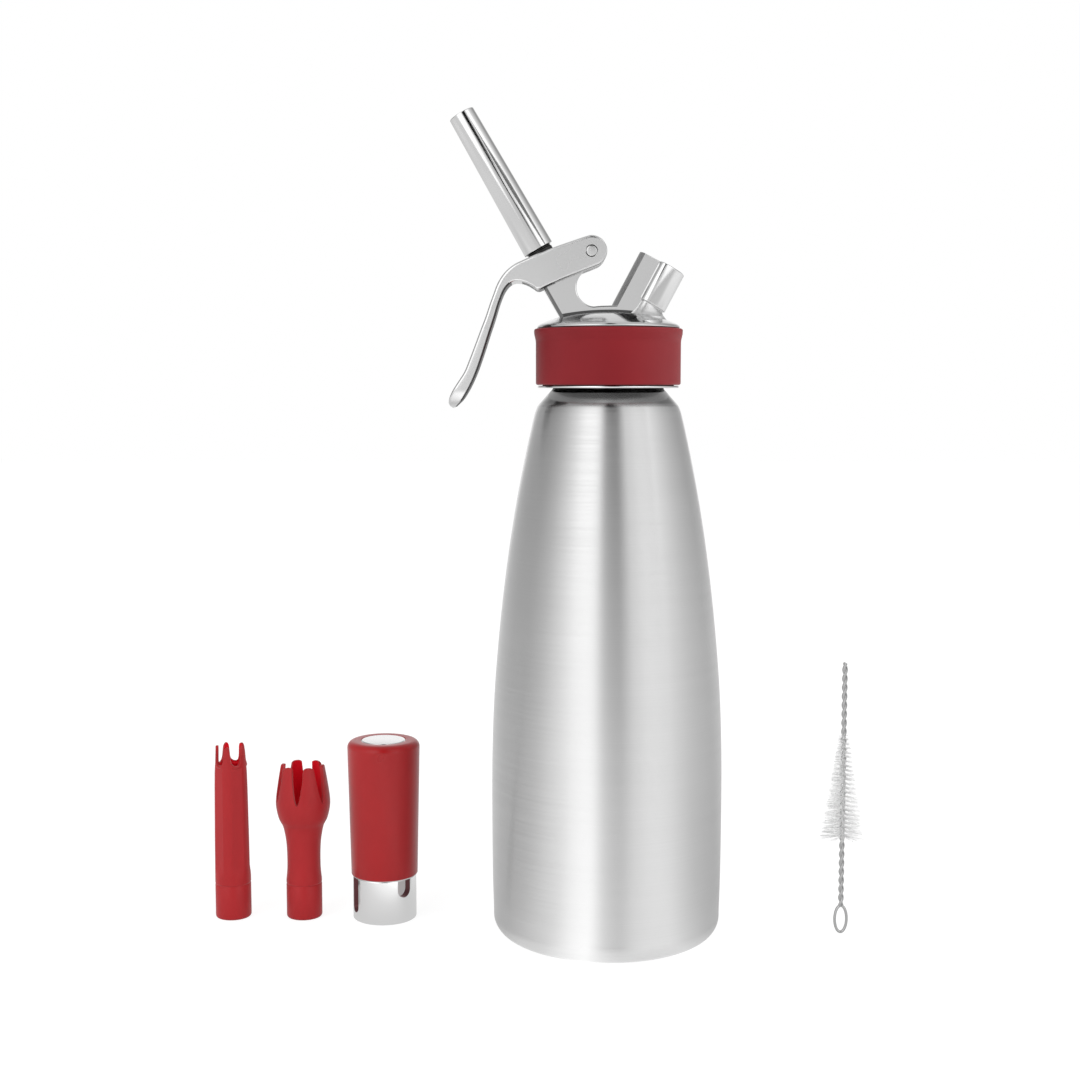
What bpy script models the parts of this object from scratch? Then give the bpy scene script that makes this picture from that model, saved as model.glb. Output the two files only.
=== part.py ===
"""Whipped cream dispenser with its charger holder, two decorator tips and cleaning brush.

Metres, +Z up. The origin is the centre of the flask's flat underside, on the table. The lever and
nozzle lean to -X, the charger port to +X, and all three lie in the plane Y = 0.
"""
import bmesh
import bpy
import math
import random
from mathutils import Matrix, Vector

MM = 0.001
GAP = 0.3 * MM
OVERRUN = 2.0 * MM
ROUND_SEGMENTS = 32
SMALL_SEGMENTS = 16
# Bores and bosses are turned by half a segment, so no corner of theirs lies in the plane of symmetry
HALF_SHARE = 0.5

# Flask
BOTTLE_RADIUS = 46.5 * MM
BOTTLE_WALL = 1.4 * MM
BASE_THICKNESS = 2.0 * MM
BASE_CORNER = 7.5 * MM
SHOULDER_HEIGHT = 214.3 * MM
SHOULDER_RADIUS = 27.6 * MM
NECK_ROOT_RADIUS = 21.8 * MM
NECK_BORE_RADIUS = 20.0 * MM
NECK_CONE_RISE = 5.7 * MM
NECK_HEIGHT = 19.0 * MM
LIP_CHAMFER = 0.5 * MM
# Radius as a share of BOTTLE_RADIUS against height as a share of SHOULDER_HEIGHT, bottom to top
SIDE_SHARES = (
    (0.988, 0.050), (0.996, 0.110), (1.0, 0.200), (1.0, 0.300), (0.993, 0.380), (0.977, 0.460),
    (0.953, 0.530), (0.920, 0.605), (0.880, 0.680), (0.832, 0.755), (0.775, 0.830),
    (0.712, 0.900), (0.652, 0.960), (0.628, 0.984),
)

# Screw thread, rolled and round, cut into neck and head alike
THREAD_PITCH = 3.0 * MM
THREAD_DEPTH = 1.2 * MM
THREAD_CLEARANCE = 0.5 * MM
THREAD_FADE = 1.2 * MM
NECK_THREAD_RISE = 4.6 * MM
NECK_THREAD_LENGTH = 6.8 * MM
HEAD_THREAD_RISE = 3.0 * MM
HEAD_THREAD_LENGTH = 8.8 * MM
ROWS_PER_PITCH = 5

# Head casting; heights are above the gasket seat
GASKET_THICKNESS = 1.9 * MM
SKIRT_DEPTH = 20.7 * MM
SKIRT_FLANGE = 0.9 * MM
SKIRT_RADIUS = 28.0 * MM
BAND_SEAT_RADIUS = 26.0 * MM
RIM_HEIGHT = 2.9 * MM
RIM_RADIUS = 28.2 * MM
DOME_HEIGHT = 9.2 * MM
CEILING_HEIGHT = 4.2 * MM
CEILING_RADIUS = 17.6 * MM
GASKET_BORE_RADIUS = 19.4 * MM
# Radius as a share of RIM_RADIUS against height as a share of DOME_HEIGHT
DOME_SHARES = ((1.0, 0.365), (0.975, 0.45), (0.90, 0.555), (0.80, 0.67), (0.66, 0.80), (0.50, 0.90),
               (0.33, 0.96), (0.16, 0.99))

# Grip band
BAND_LIP_RADIUS = 29.4 * MM
BAND_RADIUS = 28.7 * MM
BAND_EDGE_ROUND = 0.8 * MM
BAND_LIP_HEIGHT = 5.0 * MM

# Lever pivot and valve axis, in the plane Y = 0
PIVOT_X = -7.0 * MM
PIVOT_RISE = 32.4 * MM
VALVE_TILT = math.radians(30.0)
VALVE_ARM = 17.24 * MM
PIN_RADIUS = 2.1 * MM

# Web, post and pivot ear, one flat-sided slab
SLAB_HALF = 6.0 * MM
POST_BACK = 6.06 * MM
POST_FRONT = 5.3 * MM
POST_TOP = -2.4 * MM
EAR_RADIUS = 5.4 * MM
HOLLOW_RADIUS = 7.5 * MM
HOLLOW_X = -5.3 * MM
HOLLOW_RISE = 18.6 * MM
VALVE_BOSS_RADIUS = 6.6 * MM
VALVE_BOSS_FOOT = -28.5 * MM

# Valve, along its axis from the foot of the perpendicular to the pivot
VALVE_BORE_RADIUS = 2.95 * MM
SPRING_BORE_RADIUS = 3.3 * MM
SPRING_BORE_FLOOR = -11.4 * MM
STEM_RADIUS = 1.8 * MM
STEM_BORE_RADIUS = 1.0 * MM
STEM_TOP = 16.0 * MM
COLLAR_RADIUS = 4.6 * MM
COLLAR_BOTTOM = 1.5 * MM
COLLAR_TOP = 3.1 * MM
SIDE_HOLE_RADIUS = 0.8 * MM
SIDE_HOLE_RISE = 3.0 * MM
POPPET_RADIUS = 5.0 * MM
POPPET_THICKNESS = 1.8 * MM
SEAL_THICKNESS = 1.6 * MM
GUIDE_FLANGE_RADIUS = 3.0 * MM
GUIDE_FLANGE = 1.2 * MM
GUIDE_LENGTH = 10.0 * MM
O_RING_WIRE = 0.4 * MM
O_RING_GROOVE = 0.7 * MM
STEM_RING_DROP = 3.4 * MM
SPRING_WIRE = 0.32 * MM
SPRING_TURNS = 6
SPRING_MEAN_RADIUS = 2.6 * MM
POINTS_PER_TURN = 8

# Nozzle and its adapter
NOZZLE_BOTTOM = 11.3 * MM
NOZZLE_LENGTH = 60.4 * MM
NOZZLE_BASE_RADIUS = 6.15 * MM
NOZZLE_TIP_RADIUS = 5.25 * MM
NOZZLE_WALL = 0.8 * MM
NOZZLE_EDGE = 0.5 * MM
ADAPTER_BOTTOM = 8.2 * MM
ADAPTER_RADIUS = 4.9 * MM
ADAPTER_HEX_SIDES = 6
ADAPTER_HEX_RADIUS = 5.4 * MM
ADAPTER_HEX_HEIGHT = 2.3 * MM
ADAPTER_HEIGHT = 11.0 * MM

# Lever
LEVER_HALF_WIDTH = 9.6 * MM
CHEEK_INNER = 6.5 * MM
CHEEK_RADIUS = 6.1 * MM
LEVER_REACH = 56.2 * MM
LEVER_DROP = 61.0 * MM
FORK_ROOT = 27.0 * MM
WEB_CROWN = 3.4 * MM
WEB_TOP = 6.6 * MM
WEB_EDGE_RISE = 1.6 * MM
WEB_FRONT = 4.4 * MM
STEM_SLOT_HALF = 2.6 * MM
STEM_SLOT_BACK = 4.4 * MM
TIP_HALF_WIDTH = 8.2 * MM
# Points from the pivot as shares of LEVER_REACH and LEVER_DROP
LEVER_BACK_SHARES = (
    (-0.070, 0.084), (-0.270, 0.020), (-0.402, -0.028), (-0.500, -0.068), (-0.573, -0.110),
    (-0.632, -0.172), (-0.676, -0.255), (-0.737, -0.410), (-0.813, -0.600), (-0.886, -0.765),
    (-0.935, -0.828), (-0.990, -0.920), (-1.0, -0.965), (-0.985, -0.994), (-0.957, -1.0),
)
LEVER_FRONT_SHARES = (
    (-0.932, -0.978), (-0.893, -0.943), (-0.847, -0.872), (-0.776, -0.718), (-0.697, -0.507),
    (-0.639, -0.330), (-0.607, -0.259), (-0.575, -0.213), (-0.537, -0.193), (-0.479, -0.195),
    (-0.420, -0.218), (-0.370, -0.247), (-0.299, -0.221), (-0.198, -0.180),
)

# Charger port
PORT_X = 21.1 * MM
PORT_RISE = 28.0 * MM
PORT_TILT = math.radians(28.0)
PORT_RADIUS = 9.9 * MM
PORT_THREAD_LENGTH = 16.2 * MM
PORT_NECK_RADIUS = 9.1 * MM
PORT_NECK_LENGTH = 2.0 * MM
PORT_FLAT_LIMIT = -0.8 * MM
PORT_EDGE = 0.4 * MM
PORT_BORE_RADIUS = 5.1 * MM
PORT_BORE_DEPTH = 12.0 * MM
PORT_SEAL_THICKNESS = 1.8 * MM
PORT_SEAL_BORE = 1.5 * MM
NEEDLE_RADIUS = 1.1 * MM
NEEDLE_BORE_RADIUS = 0.35 * MM
NEEDLE_FOOT_RADIUS = 2.6 * MM
NEEDLE_FOOT = 1.6 * MM
NEEDLE_LENGTH = 4.6 * MM
NEEDLE_POINT = 2.0 * MM
INLET_RADIUS = 1.2 * MM
INLET_BOSS_RADIUS = 5.0 * MM
INLET_BOSS_FOOT = 1.2 * MM
CHECK_RADIUS = 3.4 * MM
CHECK_THICKNESS = 2.2 * MM
INLET_SCREW_LENGTH = 3.0 * MM
INLET_SCREW_FLANGE = 1.0 * MM
INLET_SCREW_HEAD_RADIUS = 4.3 * MM

# Charger holder, stood on its open mouth
HOLDER_DISTANCE = 45.7 * MM
ROW_Y = 16.5 * MM
HOLDER_HEIGHT = 75.2 * MM
HOLDER_RADIUS = 13.2 * MM
HOLDER_SEAT_RADIUS = 12.4 * MM
HOLDER_BORE_RADIUS = 10.2 * MM
HOLDER_END_THICKNESS = 3.0 * MM
HOLDER_DISC_RADIUS = 9.0 * MM
HOLDER_DISC_RISE = 0.1 * MM
HOLDER_EDGE = 0.4 * MM
SLEEVE_BOTTOM = 18.6 * MM
SLEEVE_FOOT_RADIUS = 13.8 * MM
SLEEVE_TOP_RADIUS = 15.0 * MM
SLEEVE_END_ROUND = 2.9 * MM
SLEEVE_END_THICKNESS = 1.6 * MM
SIDE_SLOT_ANGLE = math.radians(-155.4)
SIDE_SLOT_BOTTOM = 4.2 * MM
SIDE_SLOT_WIDTH = 5.0 * MM
FRONT_SLOT_ANGLE = math.radians(-50.5)
FRONT_SLOT_BOTTOM = 11.3 * MM
FRONT_SLOT_WIDTH = 6.4 * MM

# Decorator tips
TIP_RADIUS = 7.4 * MM
TIP_WALL = 1.2 * MM
TIP_RING_HEIGHT = 14.3 * MM
TIP_RING_DEPTH = 0.25 * MM
TIP_RING_WIDTH = 0.5 * MM
TIP_FOOT_ROUND = 1.0 * MM
INSERT_HEIGHT = 10.0 * MM
INSERT_WALL = 0.9 * MM
INSERT_FOOT = 0.5 * MM
STRAIGHT_DISTANCE = 63.6 * MM
STRAIGHT_HEIGHT = 73.0 * MM
STRAIGHT_NOTCH_SHARE = 0.89
STRAIGHT_PRONGS = 5
STRAIGHT_TURN = math.radians(-95.6)
STRAIGHT_MOUTH_RADIUS = 6.35 * MM
STRAIGHT_FLAT_SHARE = 0.94
# Radius as a share of TIP_RADIUS against height as a share of STRAIGHT_HEIGHT
STRAIGHT_SHARES = ((0.98, 0.45), (0.94, 0.75), (0.90, 0.86))
# Angle from a prong's centre as a share of half a pitch against height as a share of the prong
STRAIGHT_EDGE = ((0.0, 1.0), (0.20, 0.95), (0.33, 0.66), (0.42, 0.24), (0.62, 0.04), (1.0, 0.0))
TULIP_DISTANCE = 33.8 * MM
TULIP_HEIGHT = 64.7 * MM
TULIP_NOTCH_SHARE = 0.765
TULIP_PETALS = 6
TULIP_TURN = math.radians(-121.5)
# Angle from a petal's centre as a share of half a pitch against height as a share of the petal
TULIP_EDGE = ((0.0, 1.0), (0.57, 1.0), (0.70, 0.51), (0.85, 0.22), (1.0, 0.0))
# Radius as a share of TIP_RADIUS against height as a share of TULIP_HEIGHT
TULIP_SHARES = ((0.935, 0.33), (0.955, 0.47), (1.02, 0.55), (1.14, 0.60), (1.36, 0.65), (1.50, 0.72),
                (1.51, 0.80), (1.39, 0.905), (1.26, 1.0))
TULIP_FIXED_ROWS = 6

# Cleaning brush, stood on its loop
BRUSH_DISTANCE = 48.6 * MM
BRUSH_Y = -5.7 * MM
BRUSH_HEIGHT = 111.2 * MM
BRUSH_WIRE_RADIUS = 0.6 * MM
BRUSH_STEM_RADIUS = 1.15 * MM
BRUSH_CORE_RADIUS = 0.5 * MM
LOOP_HEIGHT = 11.5 * MM
LOOP_RADIUS = 2.4 * MM
BRISTLE_BOTTOM = 40.0 * MM
BRISTLE_TOP = 82.0 * MM
BRISTLE_SLEEVE_RADIUS = 1.2 * MM
BRISTLE_SHORT = 2.2 * MM
BRISTLE_LONG = 10.0 * MM
BRISTLE_SHORTEST_SHARE = 0.88
BRISTLE_DROOP_SHARE = 0.12
BRISTLE_COLUMNS = 10
BRISTLE_ROWS = 62
SEED = 7

# Places worked out from the sizes
NECK_FOOT_HEIGHT = SHOULDER_HEIGHT + NECK_CONE_RISE
LIP_HEIGHT = NECK_FOOT_HEIGHT + NECK_HEIGHT
NECK_THREAD_BOTTOM = NECK_FOOT_HEIGHT + NECK_THREAD_RISE
NECK_THREAD_TOP = NECK_THREAD_BOTTOM + NECK_THREAD_LENGTH
HEAD_THREAD_BOTTOM = NECK_FOOT_HEIGHT + HEAD_THREAD_RISE
HEAD_THREAD_TOP = HEAD_THREAD_BOTTOM + HEAD_THREAD_LENGTH
SEAT_Z = LIP_HEIGHT + 2 * GAP + GASKET_THICKNESS
SKIRT_Z = SEAT_Z - SKIRT_DEPTH
PIVOT = (PIVOT_X, SEAT_Z + PIVOT_RISE)
VALVE_FOOT = (PIVOT[0] - VALVE_ARM * math.cos(VALVE_TILT), PIVOT[1] - VALVE_ARM * math.sin(VALVE_TILT))
PORT_END = (PORT_X, SEAT_Z + PORT_RISE)
HEAD_ROOT_RADIUS = NECK_ROOT_RADIUS + THREAD_DEPTH + THREAD_CLEARANCE
HOLDER_X = -(BOTTLE_RADIUS + HOLDER_DISTANCE)
TULIP_X = HOLDER_X - TULIP_DISTANCE
STRAIGHT_X = HOLDER_X - STRAIGHT_DISTANCE
BRUSH_X = BOTTLE_RADIUS + BRUSH_DISTANCE

STEEL = ("steel", (0.74, 0.74, 0.74), 0.28, 1.0)
POLISHED = ("polished", (0.82, 0.82, 0.82), 0.12, 1.0)
RED = ("red_silicone", (0.25, 0.022, 0.028), 0.5, 0.0)
TIP_RED = ("red_plastic", (0.40, 0.045, 0.045), 0.4, 0.0)
RUBBER = ("seal_rubber", (0.05, 0.05, 0.05), 0.7, 0.0)
BRISTLE = ("bristle", (0.85, 0.85, 0.85), 0.5, 0.0)


def clear_scene():
    """Remove every object that the scene holds."""
    for item in list(bpy.data.objects):
        bpy.data.objects.remove(item, do_unlink=True)


def material(finish, node):
    """Return a new Principled material of one finish, named after its node."""
    name, colour, roughness, metallic = finish
    made = bpy.data.materials.new(f"{node}_{name}")
    made.use_nodes = True
    shader = made.node_tree.nodes["Principled BSDF"]
    shader.inputs["Base Color"].default_value = (*colour, 1.0)
    shader.inputs["Roughness"].default_value = roughness
    shader.inputs["Metallic"].default_value = metallic
    return made


def new_object(name, mesh_data, finish, matrix=None):
    """Link a bmesh as a named object with smooth shading and its own material."""
    bmesh.ops.recalc_face_normals(mesh_data, faces=mesh_data.faces[:])
    if mesh_data.calc_volume(signed=True) < 0:
        bmesh.ops.reverse_faces(mesh_data, faces=mesh_data.faces[:])
    mesh = bpy.data.meshes.new(name)
    mesh_data.to_mesh(mesh)
    mesh_data.free()
    mesh.shade_smooth()
    mesh.set_sharp_from_angle(angle=math.radians(35.0))
    mesh.materials.append(material(finish, name))
    made = bpy.data.objects.new(name, mesh)
    bpy.context.collection.objects.link(made)
    if matrix is not None:
        made.matrix_world = matrix
    return made


def valve_matrix(along=0.0):
    """Return the frame of the valve axis: local Z up the axis, local X toward the pivot."""
    foot = Vector((VALVE_FOOT[0], 0.0, VALVE_FOOT[1]))
    turn = Matrix.Rotation(-VALVE_TILT, 4, 'Y')
    return Matrix.Translation(foot) @ turn @ Matrix.Translation((0.0, 0.0, along))


def port_matrix(along=0.0):
    """Return the frame of the charger port: local Z out of its end face."""
    end = Vector((PORT_END[0], 0.0, PORT_END[1]))
    turn = Matrix.Rotation(PORT_TILT, 4, 'Y')
    return Matrix.Translation(end) @ turn @ Matrix.Translation((0.0, 0.0, along))


def valve_point(across, along):
    """Return (x, z) of a point in the valve frame, across toward the pivot."""
    place = valve_matrix() @ Vector((across, 0.0, along))
    return (place.x, place.z)


def port_point(across, along):
    """Return (x, z) of a point in the port frame."""
    place = port_matrix() @ Vector((across, 0.0, along))
    return (place.x, place.z)


def arc(centre, radius, start, end, steps):
    """Return points of a circular arc, angles in radians."""
    points = []
    for step in range(steps + 1):
        angle = start + (end - start) * step / steps
        points.append((centre[0] + radius * math.cos(angle), centre[1] + radius * math.sin(angle)))
    return points


def thread_offset(depth, height, angle):
    """Return how far a thread pushes a wall out: a ridge on the neck, its hollow in the head."""
    ridge = (1 + math.cos(2 * math.pi * (height - NECK_THREAD_BOTTOM) / THREAD_PITCH - angle)) / 2
    if depth >= 0:
        return depth * ridge
    return depth * (1 - ridge)


def thread_rows(radius, bottom, top, sign):
    """Return rows (radius, height, depth) of a threaded wall, fading out at both ends."""
    count = round((top - bottom) / THREAD_PITCH * ROWS_PER_PITCH)
    rows = []
    for step in range(count + 1):
        height = bottom + (top - bottom) * step / count
        fade = min(1.0, (height - bottom) / THREAD_FADE, (top - height) / THREAD_FADE)
        rows.append((radius, height, sign * THREAD_DEPTH * fade))
    return rows


def turned(profile, segments=ROUND_SEGMENTS, turn_share=0.0):
    """Turn a closed profile of (radius, height[, thread depth]) round Z into a closed body.

    turn_share turns the corners by a share of one segment.
    """
    body = bmesh.new()
    rings = []
    for row in profile:
        depth = row[2] if len(row) > 2 else 0.0
        if row[0] == 0:
            rings.append([body.verts.new((0.0, 0.0, row[1]))])
            continue
        ring = []
        for step in range(segments):
            angle = 2 * math.pi * (step + turn_share) / segments
            radius = row[0] + (thread_offset(depth, row[1], angle) if depth else 0.0)
            ring.append(body.verts.new((radius * math.cos(angle), radius * math.sin(angle), row[1])))
        rings.append(ring)
    closed = profile[0][0] > 0 or profile[-1][0] > 0
    pairs = zip(rings, rings[1:] + rings[:1]) if closed else zip(rings, rings[1:])
    for lower, upper in pairs:
        join_rings(body, lower, upper)
    return body


def join_rings(body, lower, upper):
    """Bridge two rings of vertices, either of which may be a single pole."""
    count = max(len(lower), len(upper))
    for step in range(count):
        after = (step + 1) % count
        if len(lower) == 1:
            body.faces.new((lower[0], upper[after], upper[step]))
        elif len(upper) == 1:
            body.faces.new((lower[step], lower[after], upper[0]))
        else:
            body.faces.new((lower[step], lower[after], upper[after], upper[step]))


def prism(outline, half_width):
    """Extrude an (x, z) outline across Y, from -half_width to half_width."""
    body = bmesh.new()
    front = [body.verts.new((x, -half_width, z)) for x, z in outline]
    back = [body.verts.new((x, half_width, z)) for x, z in outline]
    body.faces.new(front)
    body.faces.new(back[::-1])
    for step in range(len(outline)):
        after = (step + 1) % len(outline)
        body.faces.new((front[after], front[step], back[step], back[after]))
    return body


def cut(target, cutter, operation='DIFFERENCE'):
    """Apply one object's shape to another by an exact Boolean and hide the cutter."""
    cutter.hide_render = True
    cutter.display_type = 'WIRE'
    change = target.modifiers.new(cutter.name, 'BOOLEAN')
    change.object = cutter
    change.operation = operation
    change.solver = 'EXACT'


def helper(name, mesh_data, matrix=None):
    """Make a body that only cuts or joins another."""
    return new_object(name, mesh_data, STEEL, matrix)


def rod(radius, bottom, top, segments=SMALL_SEGMENTS, turn_share=0.0):
    """Return a plain cylinder along Z."""
    return turned([(0.0, bottom), (radius, bottom), (radius, top), (0.0, top)], segments, turn_share)


def ring(inner, outer, bottom, top, segments=SMALL_SEGMENTS):
    """Return a flat ring along Z."""
    return turned([(inner, bottom), (outer, bottom), (outer, top), (inner, top)], segments)


def o_ring(centre_radius, wire_radius, height):
    """Return a torus round Z."""
    steps = 6
    points = arc((centre_radius, height), wire_radius, 0.0, 2 * math.pi * (steps - 1) / steps, steps - 1)
    return turned(points, SMALL_SEGMENTS)


def box(size, centre):
    """Return an axis-aligned box of full sizes."""
    body = bmesh.new()
    bmesh.ops.create_cube(body, size=1.0)
    bmesh.ops.scale(body, vec=size, verts=body.verts[:])
    bmesh.ops.translate(body, vec=centre, verts=body.verts[:])
    return body


def smooth_through(points, steps=2):
    """Return a Catmull-Rom curve through the points, with steps to each stretch."""
    curve = []
    last = len(points) - 1
    for number in range(last):
        knots = [points[max(0, number - 1)], points[number], points[number + 1],
                 points[min(last, number + 2)]]
        for step in range(steps):
            share = step / steps
            curve.append(tuple(spline_value([knot[axis] for knot in knots], share) for axis in (0, 1)))
    curve.append(points[-1])
    return curve


def spline_value(knots, share):
    """Return one coordinate of a Catmull-Rom stretch at a share of its length."""
    before, start, end, after = knots
    slope_in = (end - before) / 2
    slope_out = (after - start) / 2
    square = share * share
    cube = square * share
    return ((2 * cube - 3 * square + 1) * start + (cube - 2 * square + share) * slope_in
            + (3 * square - 2 * cube) * end + (cube - square) * slope_out)


# Flask

def bottle_side(inset):
    """Return the flask's side from the base corner to the shoulder, moved in by inset."""
    rows = [(BOTTLE_RADIUS * radius - inset, SHOULDER_HEIGHT * height) for radius, height in SIDE_SHARES]
    rows.append((SHOULDER_RADIUS - inset, SHOULDER_HEIGHT - inset / 2))
    return rows


def bottle():
    """Make the flask: flat base, bellied side, cone shoulder and threaded neck, open at the lip."""
    corner = arc((BOTTLE_RADIUS * SIDE_SHARES[0][0] - BASE_CORNER, BASE_CORNER), BASE_CORNER,
                 -math.pi / 2, 0.0, 5)
    inner_corner = [(radius - BOTTLE_WALL, max(height, BASE_THICKNESS)) for radius, height in corner[1:]]
    outside = [(0.0, 0.0)] + corner + bottle_side(0.0)
    outside.append((NECK_ROOT_RADIUS + LIP_CHAMFER, NECK_FOOT_HEIGHT))
    outside.append((NECK_ROOT_RADIUS, NECK_FOOT_HEIGHT + 2 * LIP_CHAMFER))
    outside += thread_rows(NECK_ROOT_RADIUS, NECK_THREAD_BOTTOM, NECK_THREAD_TOP, 1)
    outside.append((NECK_ROOT_RADIUS, LIP_HEIGHT - LIP_CHAMFER))
    outside.append((NECK_ROOT_RADIUS - LIP_CHAMFER, LIP_HEIGHT))
    inside = [(NECK_BORE_RADIUS, LIP_HEIGHT), (NECK_BORE_RADIUS, NECK_FOOT_HEIGHT - BOTTLE_WALL)]
    inside += bottle_side(BOTTLE_WALL)[::-2] + inner_corner[::-1]
    inside.append((0.0, BASE_THICKNESS))
    return new_object("bottle", turned(outside + inside), STEEL)


# Head

def head_shell():
    """Return the casting's turned part: dome, rim, band seat, flange and threaded skirt."""
    dome = [(RIM_RADIUS * radius, SEAT_Z + DOME_HEIGHT * height) for radius, height in DOME_SHARES]
    outside = [(0.0, SEAT_Z + DOME_HEIGHT)] + dome[::-1]
    outside += [(RIM_RADIUS, SEAT_Z + RIM_HEIGHT), (BAND_SEAT_RADIUS, SEAT_Z + RIM_HEIGHT),
                (BAND_SEAT_RADIUS, SKIRT_Z + SKIRT_FLANGE), (SKIRT_RADIUS, SKIRT_Z + SKIRT_FLANGE),
                (SKIRT_RADIUS, SKIRT_Z)]
    thread = thread_rows(HEAD_ROOT_RADIUS, HEAD_THREAD_BOTTOM, HEAD_THREAD_TOP, -1)
    inside = [(HEAD_ROOT_RADIUS, SKIRT_Z)] + thread
    inside += [(HEAD_ROOT_RADIUS, SEAT_Z), (GASKET_BORE_RADIUS, SEAT_Z),
               (CEILING_RADIUS, SEAT_Z + CEILING_HEIGHT), (0.0, SEAT_Z + CEILING_HEIGHT)]
    return turned(outside + inside)


def slab_outline():
    """Return the web's outline: post, pivot ear, the hollow beside it and the saddle to the port."""
    foot_z = SEAT_Z + CEILING_HEIGHT + GAP
    foot_offset = (VALVE_FOOT[1] - foot_z) * math.tan(VALVE_TILT) - POST_BACK / math.cos(VALVE_TILT)
    back_foot = (VALVE_FOOT[0] + foot_offset, foot_z)
    ear_start = math.radians(157.0)
    ear_end = math.radians(-110.0)
    hollow = (HOLLOW_X, SEAT_Z + HOLLOW_RISE)
    outline = [back_foot, valve_point(-POST_BACK, POST_TOP), valve_point(POST_FRONT, POST_TOP)]
    outline += arc(PIVOT, EAR_RADIUS, ear_start, ear_end, 16)
    outline += arc(hollow, HOLLOW_RADIUS, math.radians(134.0), math.radians(265.0), 10)
    outline.append(port_point(-PORT_RADIUS / 2, -PORT_THREAD_LENGTH - PORT_NECK_LENGTH))
    outline.append((PORT_END[0] - (PORT_END[1] - foot_z) * math.tan(PORT_TILT), foot_z))
    return outline


def port_root():
    """Return how far the port's body runs below its end face, past the dome's inner side."""
    return (PORT_END[1] - SEAT_Z) / math.cos(PORT_TILT)


def port_profile():
    """Return the port's turned outline in its own frame: threaded length, neck and root."""
    neck_top = -PORT_THREAD_LENGTH - PORT_EDGE
    return [(0.0, -port_root()), (PORT_NECK_RADIUS, -port_root()), (PORT_NECK_RADIUS, neck_top),
            (PORT_RADIUS, -PORT_THREAD_LENGTH), (PORT_RADIUS, -PORT_EDGE), (PORT_RADIUS - PORT_EDGE, 0.0),
            (0.0, 0.0)]


def port_half(width, depth, y_centre):
    """Return a box along the whole port, on the lever side of the line where its flats end."""
    length = port_root() + 2 * OVERRUN
    centre = (PORT_FLAT_LIMIT - width / 2, y_centre, OVERRUN - length / 2)
    return box((width, depth, length), centre)


def port():
    """Make the port: a turned end whose lever side is milled flat, level with the web."""
    body = helper("port_join", turned(port_profile()), port_matrix())
    back = helper("port_back_join", rod(PORT_RADIUS, -port_root(), -PORT_EDGE, ROUND_SEGMENTS), port_matrix())
    width = PORT_RADIUS + OVERRUN
    cut(back, helper("port_back_keep", port_half(width, SLAB_HALF * 2, 0.0), port_matrix()), 'INTERSECT')
    cut(body, back, 'UNION')
    depth = PORT_RADIUS
    for side, word in ((-1, "front"), (1, "back")):
        flat = port_half(width, depth, side * (SLAB_HALF + depth / 2))
        cut(body, helper(f"port_flat_{word}", flat, port_matrix()))
    below = box((RIM_RADIUS * 2, RIM_RADIUS * 2, SKIRT_DEPTH),
                (0.0, 0.0, SEAT_Z + CEILING_HEIGHT + 2 * GAP - SKIRT_DEPTH / 2))
    cut(body, helper("port_foot_trim", below))
    return body


def valve_bore():
    """Return the cutter of the valve's bore and its wider spring chamber."""
    bottom = VALVE_BOSS_FOOT - OVERRUN
    top = POST_TOP + OVERRUN
    return turned([(0.0, bottom), (VALVE_BORE_RADIUS, bottom), (VALVE_BORE_RADIUS, SPRING_BORE_FLOOR),
                   (SPRING_BORE_RADIUS, SPRING_BORE_FLOOR), (SPRING_BORE_RADIUS, top), (0.0, top)],
                  SMALL_SEGMENTS, HALF_SHARE)


def inlet_foot():
    """Return how far the inlet boss's foot lies below the port's end, along the port's axis."""
    return (PORT_END[1] - SEAT_Z - INLET_BOSS_FOOT) / math.cos(PORT_TILT)


def inlet_bore():
    """Return the cutter of the gas way: charger socket, needle seat, passage and valve pocket."""
    foot = -inlet_foot()
    pocket = foot + INLET_SCREW_LENGTH + CHECK_THICKNESS + 3 * GAP
    seat = -PORT_BORE_DEPTH
    shelf = seat - NEEDLE_FOOT - 2 * GAP
    return turned([(0.0, foot - OVERRUN), (CHECK_RADIUS + GAP, foot - OVERRUN), (CHECK_RADIUS + GAP, pocket),
                   (INLET_RADIUS, pocket), (INLET_RADIUS, shelf), (NEEDLE_FOOT_RADIUS + GAP, shelf),
                   (NEEDLE_FOOT_RADIUS + GAP, seat), (PORT_BORE_RADIUS, seat),
                   (PORT_BORE_RADIUS, OVERRUN), (0.0, OVERRUN)], SMALL_SEGMENTS, HALF_SHARE)


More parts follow.
